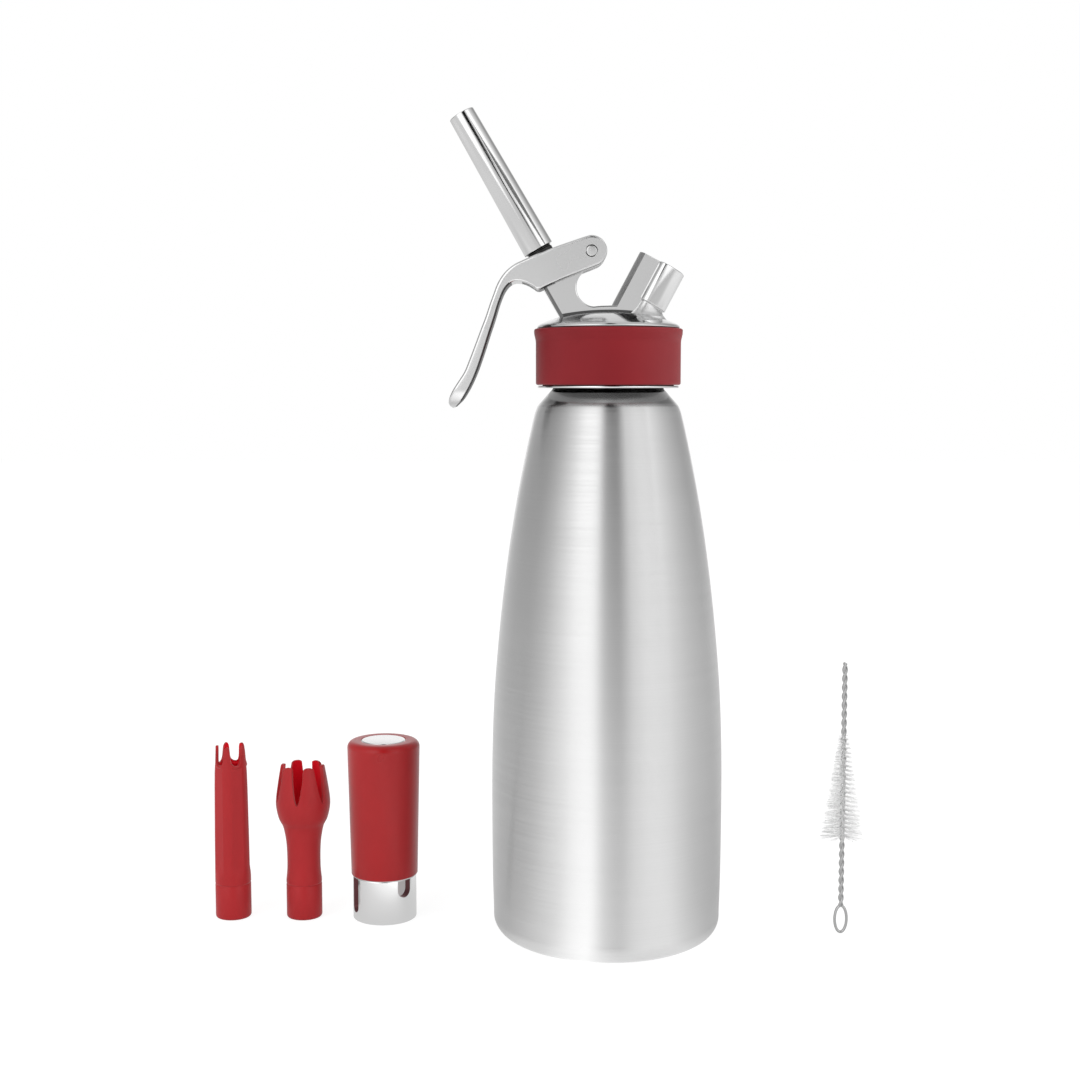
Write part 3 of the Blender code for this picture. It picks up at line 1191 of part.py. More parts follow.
def main():
    """Build every piece."""
    clear_scene()
    bottle()
    head_body()
    grip_band()
    head_gasket()
    lever()
    lever_pin()
    valve_stem()
    valve_seal()
    valve_guide()
    valve_ring()
    valve_spring()
    tip_adapter()
    nozzle_seal()
    nozzle()
    piercing_pin()
    port_seal()
    check_valve()
    inlet_screw()
    holder_shell()
    holder_sleeve()
    straight_tip()
    tulip_tip()
    thread_insert("straight_insert", STRAIGHT_X)
    thread_insert("tulip_insert", TULIP_X)
    brush_stem()
    brush_bristles()


main()
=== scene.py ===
"""Looks of a whipped cream dispenser with its charger holder, decorator tips and cleaning brush.

Metres, +Z up, in the same frame as the CAD. Every new surface is worked out with numpy as a grid of
points: a profile turned round an axis, or a ring of points carried along a path.
"""
import logging
import math
from dataclasses import dataclass, field
from enum import Enum

import bmesh
import bpy
import numpy as np
from mathutils import Matrix, Vector


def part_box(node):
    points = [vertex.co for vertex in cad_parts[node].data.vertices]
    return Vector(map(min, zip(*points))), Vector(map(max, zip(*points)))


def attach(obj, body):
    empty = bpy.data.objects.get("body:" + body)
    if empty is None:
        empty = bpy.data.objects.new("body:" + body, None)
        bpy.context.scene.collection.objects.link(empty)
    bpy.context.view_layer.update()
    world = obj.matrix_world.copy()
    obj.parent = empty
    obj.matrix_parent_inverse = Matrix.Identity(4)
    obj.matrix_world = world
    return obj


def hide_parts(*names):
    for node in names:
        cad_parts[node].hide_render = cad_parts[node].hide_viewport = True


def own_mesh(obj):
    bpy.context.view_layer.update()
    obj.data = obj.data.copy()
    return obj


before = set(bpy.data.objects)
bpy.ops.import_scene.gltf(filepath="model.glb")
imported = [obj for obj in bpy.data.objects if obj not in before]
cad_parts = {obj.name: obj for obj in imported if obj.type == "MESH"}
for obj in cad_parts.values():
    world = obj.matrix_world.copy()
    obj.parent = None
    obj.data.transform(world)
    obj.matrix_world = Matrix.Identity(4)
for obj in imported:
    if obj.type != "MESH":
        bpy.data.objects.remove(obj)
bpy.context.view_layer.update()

MM = 0.001
LOG = logging.getLogger("dispenser")
Point = tuple[float, float]


class Body(Enum):
    """The bodies of the frame that pieces ride on."""

    FLASK = "flask"
    GASKET = "gasket"
    HEAD = "head"
    LEVER = "lever"
    VALVE = "valve"
    HOLDER = "charger_holder"
    STRAIGHT = "straight_tip"
    TULIP = "tulip_tip"
    BRUSH = "brush"


class Slot(Enum):
    """The record's material slots."""

    BRUSHED = "brushed"
    POLISHED = "polished"
    STEEL = "plain_steel"
    SILICONE = "silicone"
    TIP = "tip_plastic"
    GUIDE = "guide_plastic"
    SEAL = "seal"
    BRISTLE = "bristle"


STANDING_APART = (Body.HOLDER, Body.STRAIGHT, Body.TULIP, Body.BRUSH)


class Carving(Enum):
    """How one shape changes another."""

    JOIN = "UNION"
    CUT = "DIFFERENCE"


# Shapes


@dataclass
class Shape:
    """Points and faces of a closed surface, before it becomes a mesh.

    Attributes:
        points: Array of points, one row of x, y and z each.
        faces: Corner numbers of each face.
    """

    points: np.ndarray
    faces: list[tuple[int, ...]]

    def placed(self, matrix: Matrix) -> "Shape":
        """Return the shape moved by a matrix: each point p becomes R p + t."""
        turn = np.array(matrix.to_3x3())
        return Shape(self.points @ turn.T + np.array(matrix.translation), self.faces)

    def joined(self, other: "Shape") -> "Shape":
        """Return both shapes as one, their points side by side."""
        start = len(self.points)
        moved = [tuple(corner + start for corner in face) for face in other.faces]
        return Shape(np.concatenate([self.points, other.points]), self.faces + moved)


def smooth_curve(points: np.ndarray, steps: int) -> np.ndarray:
    """Return a Catmull-Rom curve through points.

    Each stretch blends its ends and their slopes by cubics of the share s, where a slope is half the
    difference of a point's two neighbours.

    Args:
        points: Array of points to pass through, one row each.
        steps: Points for each stretch.

    Returns:
        Array of points along the curve, ends included.
    """
    padded = np.concatenate([points[:1], points, points[-1:]])
    count = len(points) - 1
    before, start, end, after = (padded[shift:count + shift] for shift in range(4))
    share = (np.arange(steps) / steps)[:, None, None]
    square, cube = share ** 2, share ** 3
    curve = ((2 * cube - 3 * square + 1) * start + (cube - 2 * square + share) * (end - before) / 2
             + (3 * square - 2 * cube) * end + (cube - square) * (after - start) / 2)
    flat = curve.transpose(1, 0, 2).reshape(-1, points.shape[1])
    return np.concatenate([flat, points[-1:]])


def arc(centre: Point, radius: float, start: float, end: float, steps: int) -> np.ndarray:
    """Return points of an arc: centre plus radius times cosine and sine.

    Args:
        centre: The arc's centre.
        radius: Its radius.
        start: First angle in degrees.
        end: Last angle in degrees.
        steps: Number of stretches.

    Returns:
        Array of steps + 1 points.
    """
    angle = np.radians(np.linspace(start, end, steps + 1))
    return np.stack([centre[0] + radius * np.cos(angle), centre[1] + radius * np.sin(angle)], axis=1)


def grid_shape(points: np.ndarray, close_rows: bool = False, caps: bool = False) -> Shape:
    """Return a grid of points as a surface whose columns close round.

    Args:
        points: Array of rows, columns and coordinates.
        close_rows: Whether the last row joins the first.
        caps: Whether one flat face closes each end.

    Returns:
        The surface.
    """
    rows, columns = points.shape[:2]
    number = np.arange(rows * columns).reshape(rows, columns)
    lower = number if close_rows else number[:-1]
    upper = np.roll(number, -1, axis=0) if close_rows else number[1:]
    corners = [lower, np.roll(lower, -1, axis=1), np.roll(upper, -1, axis=1), upper]
    faces = [tuple(face) for face in np.stack(corners, axis=-1).reshape(-1, 4).tolist()]
    if caps:
        faces.append(tuple(number[0][::-1].tolist()))
        faces.append(tuple(number[-1].tolist()))
    return Shape(points.reshape(-1, 3), faces)


def turned(profile: np.ndarray, segments: int = 128, push: np.ndarray | None = None) -> Shape:
    """Return a profile turned round Z: x = r cos a, y = r sin a.

    Args:
        profile: Array of radius and height, closed on itself unless both ends lie on the axis.
        segments: Points round.
        push: Array that is added to the radius, of one row for each profile point and a column for
            each angle.

    Returns:
        The closed surface.
    """
    angle = np.linspace(0, 2 * np.pi, segments, endpoint=False)
    radius = np.repeat(profile[:, :1], segments, axis=1)
    if push is not None:
        radius = radius + push
    height = np.repeat(profile[:, 1:2], segments, axis=1)
    points = np.stack([radius * np.cos(angle), radius * np.sin(angle), height], axis=-1)
    on_axis = profile[0, 0] == 0 and profile[-1, 0] == 0
    return grid_shape(points, close_rows=not on_axis)


def rounded(corners: list[Point], radius: float, steps: int = 4) -> np.ndarray:
    """Return a polyline whose inner corners are rounded.

    A corner is replaced by the parabola that leaves one side and joins the other at the same
    distance: (1 - s)^2 p + 2 s (1 - s) c + s^2 q.

    Args:
        corners: The polyline's points.
        radius: Distance from a corner to where the curve leaves its sides.
        steps: Stretches in each curve.

    Returns:
        Array of points.
    """
    line = np.array(corners, dtype=float)
    before, corner, after = line[:-2], line[1:-1], line[2:]
    back, ahead = before - corner, after - corner
    back_length = np.linalg.norm(back, axis=1, keepdims=True)
    ahead_length = np.linalg.norm(ahead, axis=1, keepdims=True)
    leave = corner + back / back_length * np.minimum(radius, back_length / 2.01)
    join = corner + ahead / ahead_length * np.minimum(radius, ahead_length / 2.01)
    share = np.linspace(0, 1, steps + 1)[:, None, None]
    curve = (1 - share) ** 2 * leave + 2 * share * (1 - share) * corner + share ** 2 * join
    middle = curve.transpose(1, 0, 2).reshape(-1, 2)
    return np.concatenate([line[:1], middle, line[-1:]])


def inward(outline: np.ndarray) -> np.ndarray:
    """Return, for each point of an anticlockwise outline, the step that draws both its sides in by 1."""
    side = np.roll(outline, -1, axis=0) - outline
    normal = np.stack([-side[:, 1], side[:, 0]], axis=1)
    normal /= np.linalg.norm(normal, axis=1, keepdims=True)
    mean = normal + np.roll(normal, 1, axis=0)
    mean /= np.maximum(np.linalg.norm(mean, axis=1, keepdims=True), 0.1)
    cosine = np.clip((mean * normal).sum(axis=1, keepdims=True), 0.5, 1.0)
    return mean / cosine


def rounded_slab(outline: np.ndarray, half_width: float, edge: float) -> Shape:
    """Return a slab across Y with round edges: the outline is drawn in by e (1 - sin a) at e (1 - cos a).

    Args:
        outline: Array of x and z, anticlockwise.
        half_width: Half the slab's thickness.
        edge: Radius e of its edges.

    Returns:
        The closed surface.
    """
    angle = np.radians(np.linspace(0, 90, 5))
    drawn_in = edge * (1 - np.sin(angle))
    depth = -(half_width - edge + edge * np.cos(angle))
    drawn_in = np.concatenate([drawn_in, drawn_in[::-1]])
    depth = np.concatenate([depth, -depth[::-1]])
    return slab(outline + drawn_in[:, None, None] * inward(outline), depth)


def slab(rings: np.ndarray, depth: np.ndarray) -> Shape:
    """Return rings of x and z as a closed surface, each ring at its own y."""
    across = np.repeat(depth[:, None], rings.shape[1], axis=1)
    points = np.stack([rings[..., 0], across, rings[..., 1]], axis=-1)
    return grid_shape(points, caps=True)


def block(size: tuple[float, float, float], centre: tuple[float, float, float]) -> Shape:
    """Return a box by its full sizes and centre: the corners are centre plus or minus half the size."""
    corner = np.array([[-1, -1], [1, -1], [1, 1], [-1, 1]]) / 2
    rings = np.stack([np.column_stack([corner, np.full(4, level)]) for level in (-0.5, 0.5)])
    return grid_shape(rings * np.array(size) + np.array(centre), caps=True)


def tube(path: np.ndarray, radius: float, sides: int, closed: bool = False) -> Shape:
    """Return a tube along a path: each ring is the path's point plus r (cos a side + sin a up).

    Args:
        path: Array of points.
        radius: The tube's radius.
        sides: Points round it.
        closed: Whether its ends join.

    Returns:
        The closed surface.
    """
    if closed:
        ahead = np.roll(path, -1, axis=0) - np.roll(path, 1, axis=0)
    else:
        ahead = np.gradient(path, axis=0)
    ahead /= np.linalg.norm(ahead, axis=1, keepdims=True)
    guide = np.where(np.abs(ahead[:, 2:3]) > 0.95, [[1.0, 0.0, 0.0]], [[0.0, 0.0, 1.0]])
    if np.abs(ahead[:, 1]).max() < 0.9:
        guide = np.array([[0.0, 1.0, 0.0]])
    side = np.cross(guide, ahead)
    side /= np.linalg.norm(side, axis=1, keepdims=True)
    up = np.cross(ahead, side)
    angle = np.linspace(0, 2 * np.pi, sides, endpoint=False)[None, :, None]
    points = path[:, None] + radius * (np.cos(angle) * side[:, None] + np.sin(angle) * up[:, None])
    return grid_shape(points, close_rows=closed, caps=not closed)


# Finishes


class Graph:
    """Short calls for the nodes of one material."""

    def __init__(self, name: str) -> None:
        """Start a material of this name with one Principled shader."""
        self.material = bpy.data.materials.new(name)
        self.material.use_nodes = True
        self.nodes = self.material.node_tree.nodes
        self.links = self.material.node_tree.links
        self.shader = self.nodes["Principled BSDF"]
        self.place = self.nodes.new("ShaderNodeTexCoord").outputs["Object"]

    def set(self, **values: object) -> None:
        """Set plain values on the shader's own sockets, given with underscores for spaces."""
        for name, value in values.items():
            self.shader.inputs[name.replace("_", " ")].default_value = value

    def stretched(self, scale: tuple[float, float, float]) -> bpy.types.NodeSocket:
        """Return the object's coordinates, scaled along each axis."""
        mapping = self.nodes.new("ShaderNodeMapping")
        mapping.inputs["Scale"].default_value = scale
        self.links.new(self.place, mapping.inputs["Vector"])
        return mapping.outputs["Vector"]

    def noise(self, scale: tuple[float, float, float], detail: float = 3.0) -> bpy.types.NodeSocket:
        """Return noise over the object's coordinates.

        Args:
            scale: Cycles to a metre along each axis.
            detail: Finer layers on top of the first.

        Returns:
            The noise's value, about 0.5 in the mean.
        """
        texture = self.nodes.new("ShaderNodeTexNoise")
        texture.inputs["Scale"].default_value = 1.0
        texture.inputs["Detail"].default_value = detail
        self.links.new(self.stretched(scale), texture.inputs["Vector"])
        return texture.outputs["Fac"]

    def between(self, value: bpy.types.NodeSocket, low: float, high: float, start: float = 0.3,
                end: float = 0.7) -> bpy.types.NodeSocket:
        """Return a value spread from low to high as its source goes from start to end."""
        spread = self.nodes.new("ShaderNodeMapRange")
        self.links.new(value, spread.inputs["Value"])
        for name, number in (("From Min", start), ("From Max", end), ("To Min", low), ("To Max", high)):
            spread.inputs[name].default_value = number
        return spread.outputs["Result"]

    def blend(self, share: bpy.types.NodeSocket, first: object, second: object) -> bpy.types.NodeSocket:
        """Return a mix of two colours, each a socket or three numbers, by a share."""
        mix = self.nodes.new("ShaderNodeMix")
        mix.data_type = "RGBA"
        self.links.new(share, mix.inputs[0])
        for value, socket in ((first, mix.inputs[6]), (second, mix.inputs[7])):
            if isinstance(value, tuple):
                socket.default_value = (*value, 1.0)
            else:
                self.links.new(value, socket)
        return mix.outputs[2]

    def distance(self, direction: tuple[float, float, float], bow: float = 0.0) -> bpy.types.NodeSocket:
        """Return a point's distance along a direction plus bow x^2, its y taken without the sign."""
        folded = self.nodes.new("ShaderNodeVectorMath")
        folded.operation = "ABSOLUTE"
        self.links.new(self.place, folded.inputs[0])
        source = folded.outputs[0] if direction[1] else self.place
        dot = self.nodes.new("ShaderNodeVectorMath")
        dot.operation = "DOT_PRODUCT"
        self.links.new(source, dot.inputs[0])
        dot.inputs[1].default_value = direction
        if not bow:
            return dot.outputs["Value"]
        split = self.nodes.new("ShaderNodeSeparateXYZ")
        self.links.new(self.place, split.inputs[0])
        bent = self.nodes.new("ShaderNodeMath")
        bent.operation = "MULTIPLY_ADD"
        self.links.new(self.product(split.outputs["X"], split.outputs["X"]), bent.inputs[0])
        bent.inputs[1].default_value = bow
        self.links.new(dot.outputs["Value"], bent.inputs[2])
        return bent.outputs[0]

    def product(self, first: bpy.types.NodeSocket, second: bpy.types.NodeSocket) -> bpy.types.NodeSocket:
        """Return the product of two values."""
        node = self.nodes.new("ShaderNodeMath")
        node.operation = "MULTIPLY"
        self.links.new(first, node.inputs[0])
        self.links.new(second, node.inputs[1])
        return node.outputs[0]

    def height(self) -> bpy.types.NodeSocket:
        """Return the height of a point above the table."""
        split = self.nodes.new("ShaderNodeSeparateXYZ")
        self.links.new(self.place, split.inputs[0])
        return split.outputs["Z"]

    def feed(self, name: str, value: bpy.types.NodeSocket) -> None:
        """Link a value to one of the shader's sockets."""
        self.links.new(value, self.shader.inputs[name])

    def relief(self, height: bpy.types.NodeSocket, depth: float, strength: float = 1.0) -> None:
        """Give the shader a relief of a height map and a depth in metres."""
        bump = self.nodes.new("ShaderNodeBump")
        bump.inputs["Distance"].default_value = depth
        bump.inputs["Strength"].default_value = strength
        self.links.new(height, bump.inputs["Height"])
        self.links.new(bump.outputs["Normal"], self.shader.inputs["Normal"])


def lighter(colour: tuple[float, float, float], share: float) -> tuple[float, float, float]:
    """Return a colour times a share, held at 1."""
    return tuple(min(1.0, part * share) for part in colour)


@dataclass(frozen=True)
class BrushedSteel:
    """Steel brushed round its axis, with a polished band above a height whose colour is darkened as painted shade.

    Attributes:
        name: The material's name.
        colour: Its reflectance.
        roughness: Mean roughness of the brushed part.
        lines: Brush lines to a metre of height.
        depth: Depth of a brush line.
        polished_from: Height above which it is polished.
        collar_painted_shade: Reflectance of the polished part as a share of the brushed part's, lowered as painted
            shade for the dark reflection of the head's underside.
        blur: How far the reflections are drawn out across the lines.
    """

    name: str = "brushed_steel"
    colour: tuple[float, float, float] = (0.74, 0.74, 0.74)
    roughness: float = 0.34
    lines: float = 2200.0
    depth: float = 0.004 * MM
    polished_from: float = 10.0
    collar_painted_shade: float = 0.42
    blur: float = 1.0

    def build(self) -> bpy.types.Material:
        """Return the material."""
        graph = Graph(self.name)
        graph.set(Metallic=1.0, Anisotropic=self.blur, Anisotropic_Rotation=0.25)
        tangent = graph.nodes.new("ShaderNodeTangent")
        tangent.direction_type = "RADIAL"
        tangent.axis = "Z"
        graph.links.new(tangent.outputs[0], graph.shader.inputs["Tangent"])
        fine = graph.noise((24.0, 24.0, self.lines), 2.0)
        broad = graph.noise((9.0, 9.0, 160.0), 3.0)
        polish = graph.between(graph.height(), 0.0, 1.0, self.polished_from - 1.2 * MM, self.polished_from + 0.8 * MM)
        grain = graph.blend(fine, lighter(self.colour, 0.95), lighter(self.colour, 1.05))
        tone = graph.blend(graph.between(broad, 0.0, 0.5), grain, lighter(self.colour, 0.97))
        # Painted shade: the polished collar's colour is darkened to stand in for the dark reflection above it.
        graph.feed("Base Color", graph.blend(polish, tone, lighter(self.colour, self.collar_painted_shade)))
        rough = graph.between(fine, self.roughness - 0.03, self.roughness + 0.04)
        smooth = graph.nodes.new("ShaderNodeMix")
        graph.links.new(polish, smooth.inputs[0])
        graph.links.new(rough, smooth.inputs[2])
        smooth.inputs[3].default_value = 0.09
        graph.feed("Roughness", smooth.outputs[0])
        graph.relief(fine, self.depth, 0.6)
        return graph.material


@dataclass(frozen=True)
class PaintedShadeLine:
    """A dark band of painted shade on a casting, where shade falls in a corner or along a side.

    Attributes:
        bounds: A direction with the least and greatest distance along it, for each side of the line; the
            distance across the plane of symmetry is taken without its sign, and the height has bow times
            the square of x added.
        bow: How the line bends down from the middle, to a metre.
        share: Reflectance on the line as a share of the steel's.
        edge: Width over which it fades.
    """

    bounds: tuple[tuple[tuple[float, float, float], float, float], ...]
    share: float = 0.30
    edge: float = 0.12 * MM
    bow: float = 0.0

    def mask(self, graph: Graph) -> bpy.types.NodeSocket:
        """Return 1 on the line and 0 off it."""
        whole = None
        for direction, low, high in self.bounds:
            along = graph.distance(direction, self.bow if direction[2] == 1.0 else 0.0)
            rise = graph.between(along, 0.0, 1.0, low - self.edge, low)
            fall = graph.between(along, 1.0, 0.0, high, high + self.edge)
            for share in (rise, fall):
                whole = share if whole is None else graph.product(whole, share)
        return whole


@dataclass(frozen=True)
class PolishedSteel:
    """Polished or satin steel with a fine grain and faint smudges.

    Attributes:
        name: The material's name.
        colour: Its reflectance.
        roughness: Mean roughness.
        grain: Cycles of the grain to a metre, along each axis.
        depth: Depth of the grain.
        lines: Bands of painted shade on it.
    """

    name: str = "polished_steel"
    colour: tuple[float, float, float] = (0.80, 0.80, 0.80)
    roughness: float = 0.12
    grain: tuple[float, float, float] = (900.0, 900.0, 900.0)
    depth: float = 0.002 * MM
    lines: tuple[PaintedShadeLine, ...] = ()

    def build(self) -> bpy.types.Material:
        """Return the material."""
        graph = Graph(self.name)
        graph.set(Metallic=1.0)
        grain = graph.noise(self.grain, 2.0)
        smudge = graph.noise((45.0, 45.0, 45.0), 1.0)
        tone = graph.blend(graph.between(smudge, 0.0, 1.0), lighter(self.colour, 0.98), lighter(self.colour, 1.02))
        # Painted shade: each line darkens the tone to its share of the colour.
        for line in self.lines:
            tone = graph.blend(line.mask(graph), tone, lighter(self.colour, line.share))
        graph.feed("Base Color", tone)
        graph.feed("Roughness", graph.between(smudge, self.roughness * 0.94, self.roughness * 1.08))
        graph.relief(grain, self.depth, 0.4)
        return graph.material


@dataclass(frozen=True)
class Moulded:
    """Moulded silicone, rubber or plastic with a fine grain.

    Attributes:
        name: The material's name.
        colour: Its colour.
        roughness: Mean roughness.
        grain: Cycles of the grain to a metre.
        depth: Depth of the grain.
        specular: Specular level.
        sheen: Weight of the soft sheen of dusty silicone.
        through: Share of light that soaks in, for translucent plastic.
    """

    name: str
    colour: tuple[float, float, float]
    roughness: float
    grain: float = 2600.0
    depth: float = 0.02 * MM
    specular: float = 0.5
    sheen: float = 0.0
    through: float = 0.0

    def build(self) -> bpy.types.Material:
        """Return the material."""
        graph = Graph(self.name)
        graph.set(Specular_IOR_Level=self.specular, Sheen_Weight=self.sheen, Sheen_Roughness=0.5,
                  Transmission_Weight=self.through)
        cloud = graph.noise((60.0, 60.0, 60.0), 4.0)
        grain = graph.noise((self.grain,) * 3, 2.0)
        graph.feed("Base Color", graph.blend(graph.between(cloud, 0.0, 1.0), lighter(self.colour, 0.95),
                                             lighter(self.colour, 1.05)))
        graph.feed("Roughness", graph.between(cloud, self.roughness - 0.03, self.roughness + 0.04))
        graph.relief(grain, self.depth, 0.5)
        return graph.material


BRUSHED = BrushedSteel(polished_from=214.4 * MM)
POLISHED = PolishedSteel(colour=(0.73, 0.73, 0.73), grain=(3000.0, 3000.0, 3000.0), depth=0.0003 * MM)
# Painted shade: a dark crease where the web meets the dome, and a dark band along the valve post's left edge.
FOOT_PAINTED_SHADE = PaintedShadeLine((((0.0, 1.0, 0.0), 5.0 * MM, 7.2 * MM), ((0.0, 0.0, 1.0), 240.0 * MM, 251.35 * MM),
                       ((1.0, 0.0, 0.0), -21.5 * MM, 12.5 * MM)), share=0.14, bow=5.0)
POST_PAINTED_SHADE = PaintedShadeLine((((0.8660, 0.0, 0.5), 100.0 * MM, 108.9 * MM), ((0.0, 1.0, 0.0), 3.0 * MM, 7.0 * MM),
                        ((0.0, 0.0, 1.0), 248.0 * MM, 264.0 * MM)))
CAST = PolishedSteel("cast_steel", (0.75, 0.75, 0.75), 0.15, (3000.0, 3000.0, 3000.0), 0.0004 * MM,
                     (FOOT_PAINTED_SHADE, POST_PAINTED_SHADE))
HOLDER_STEEL = PolishedSteel("holder_steel", (0.86, 0.86, 0.86), 0.14)
# The port's foot: rougher, and a little lighter than the casting as painted light.
ROUGH_FOOT_PAINTED_LIGHT = PolishedSteel("rough_foot_painted_light", (0.80, 0.80, 0.80), 0.42, (3000.0, 3000.0, 3000.0), 0.0004 * MM)
# Painted shade: the back of the port's flank, darker than the casting.
FLANK_PAINTED_SHADE = PolishedSteel("flank_painted_shade", (0.48, 0.48, 0.48), 0.42, (3000.0, 3000.0, 3000.0), 0.0004 * MM)
# Painted shade: the holder's bore is darker and faintly warm, and the slots' cut sides are near-black with a painted
# red reflection of the sleeve.
HOLDER_BORE_PAINTED_SHADE = PolishedSteel("holder_bore_painted_shade", (0.60, 0.57, 0.57), 0.40)
SLOT_SIDES_PAINTED_SHADE = PolishedSteel("slot_sides_painted_shade", (0.13, 0.05, 0.055), 0.40)
SATIN = PolishedSteel("satin_steel", (0.76, 0.76, 0.76), 0.28, (4200.0, 4200.0, 4200.0), 0.001 * MM)
# Painted shade for the lever handle's inner faces.
HANDLE_PAINTED_SHADE = PolishedSteel("handle_painted_shade", (0.12, 0.12, 0.12), 0.42, (1400.0, 1400.0, 1400.0), 0.01 * MM)
PLAIN = PolishedSteel("plain_steel", (0.62, 0.62, 0.61), 0.28, (700.0, 700.0, 2200.0), 0.004 * MM)
# Near-black steel for the adapter at the nozzle's foot.
DARK_STEEL = PolishedSteel("near_black_steel", (0.05, 0.05, 0.05), 0.35, (900.0, 900.0, 900.0), 0.004 * MM)
WIRE = PolishedSteel("drawn_wire", (0.50, 0.50, 0.50), 0.30, (1200.0, 1200.0, 1200.0), 0.004 * MM)
BAND_RED = Moulded("band_silicone", (0.185, 0.009, 0.013), 0.50, specular=0.16, sheen=0.07)
SLEEVE_RED = Moulded("sleeve_silicone", (0.315, 0.004, 0.006), 0.30, specular=0.34, sheen=0.11)
TIP_RED = Moulded("tip_plastic", (0.345, 0.013, 0.016), 0.40, grain=1500.0, specular=0.25, sheen=0.03)
# Painted light: the tips' inner wall is brighter than the outside red, to lift the shade inside.
TIP_INSIDE_PAINTED_LIGHT = Moulded("tip_inside_painted_light", (0.60, 0.003, 0.012), 0.50, grain=1500.0, specular=0.12)
RUBBER = Moulded("seal_rubber", (0.045, 0.045, 0.047), 0.62)
GUIDE = Moulded("guide_plastic", (0.72, 0.72, 0.70), 0.40)
NYLON = Moulded("bristle_nylon", (0.86, 0.86, 0.86), 0.35, grain=400.0, through=0.25)


class Palette:
    """Builds each finish once."""

    made: dict[str, bpy.types.Material] = {}

    @classmethod
    def get(cls, finish: BrushedSteel | PolishedSteel | Moulded) -> bpy.types.Material:
        """Return a finish's material, built on the first call."""
        if finish.name not in cls.made:
            cls.made[finish.name] = finish.build()
        return cls.made[finish.name]


Finish = BrushedSteel | PolishedSteel | Moulded


# Pieces


def raw_mesh(name: str, shape: Shape) -> bpy.types.Object:
    """Return an object that holds a shape, its doubles merged and its faces turned outward."""
    mesh = bpy.data.meshes.new(name)
    mesh.from_pydata(shape.points.tolist(), [], shape.faces)
    work = bmesh.new()
    work.from_mesh(mesh)
    bmesh.ops.remove_doubles(work, verts=work.verts[:], dist=1e-7)
    bmesh.ops.recalc_face_normals(work, faces=work.faces[:])
    work.to_mesh(mesh)
    work.free()
    made = bpy.data.objects.new(name, mesh)
    bpy.context.scene.collection.objects.link(made)
    return made


def carve(target: bpy.types.Object, shape: Shape, how: Carving) -> None:
    """Join a shape to a piece or cut it out, and keep the result as the piece's own mesh."""
    tool = raw_mesh("carving_tool", shape)
    change = target.modifiers.new("carving", "BOOLEAN")
    change.object = tool
    change.operation = how.value
    change.solver = "EXACT"
    bpy.context.view_layer.update()
    finished = target.evaluated_get(bpy.context.evaluated_depsgraph_get())
    mesh = bpy.data.meshes.new_from_object(finished)
    target.modifiers.clear()
    target.data = mesh
    bpy.data.objects.remove(tool)


def dress(piece: bpy.types.Object, finish: Finish, body: Body, replaces: tuple[str, ...] = (),
          sharp: float = 35.0, flat_faces: bool = False) -> bpy.types.Object:
    """Give a finished mesh its shading, finish and body.

    Args:
        piece: The object.
        finish: What it is made of.
        body: The body it rides on.
        replaces: The CAD nodes it stands for.
        sharp: Angle in degrees above which an edge stays sharp.
        flat_faces: Whether the faces that look along Y are shaded flat.

    Returns:
        The same object.
    """
    piece.data.shade_smooth()
    piece.data.set_sharp_from_angle(angle=math.radians(sharp))
    piece.data.materials.clear()
    piece.data.materials.append(Palette.get(finish))
    if flat_faces:
        normals, _ = face_arrays(piece.data)
        piece.data.polygons.foreach_set("use_smooth", np.abs(normals[:, 1]) < 0.9995)
    if replaces:
        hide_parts(*replaces)
    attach(piece, body.value)
    piece.visible_glossy = body not in STANDING_APART
    LOG.info("%s: %d faces on %s", piece.name, len(piece.data.polygons), body.value)
    return piece


def face_arrays(mesh: bpy.types.Mesh) -> tuple[np.ndarray, np.ndarray]:
    """Return a mesh's face normals and face centres as arrays."""
    normals = np.zeros(len(mesh.polygons) * 3)
    centres = np.zeros_like(normals)
    mesh.polygons.foreach_get("normal", normals)
    mesh.polygons.foreach_get("center", centres)
    return normals.reshape(-1, 3), centres.reshape(-1, 3)


def make(name: str, shape: Shape, finish: Finish, body: Body,
         replaces: tuple[str, ...] = ()) -> bpy.types.Object:
    """Return a dressed piece made from one shape."""
    return dress(raw_mesh(name, shape), finish, body, replaces)


def middle(node: str) -> Vector:
    """Return the middle of a CAD node's box."""
    low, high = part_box(node)
    return (low + high) / 2


# Flask


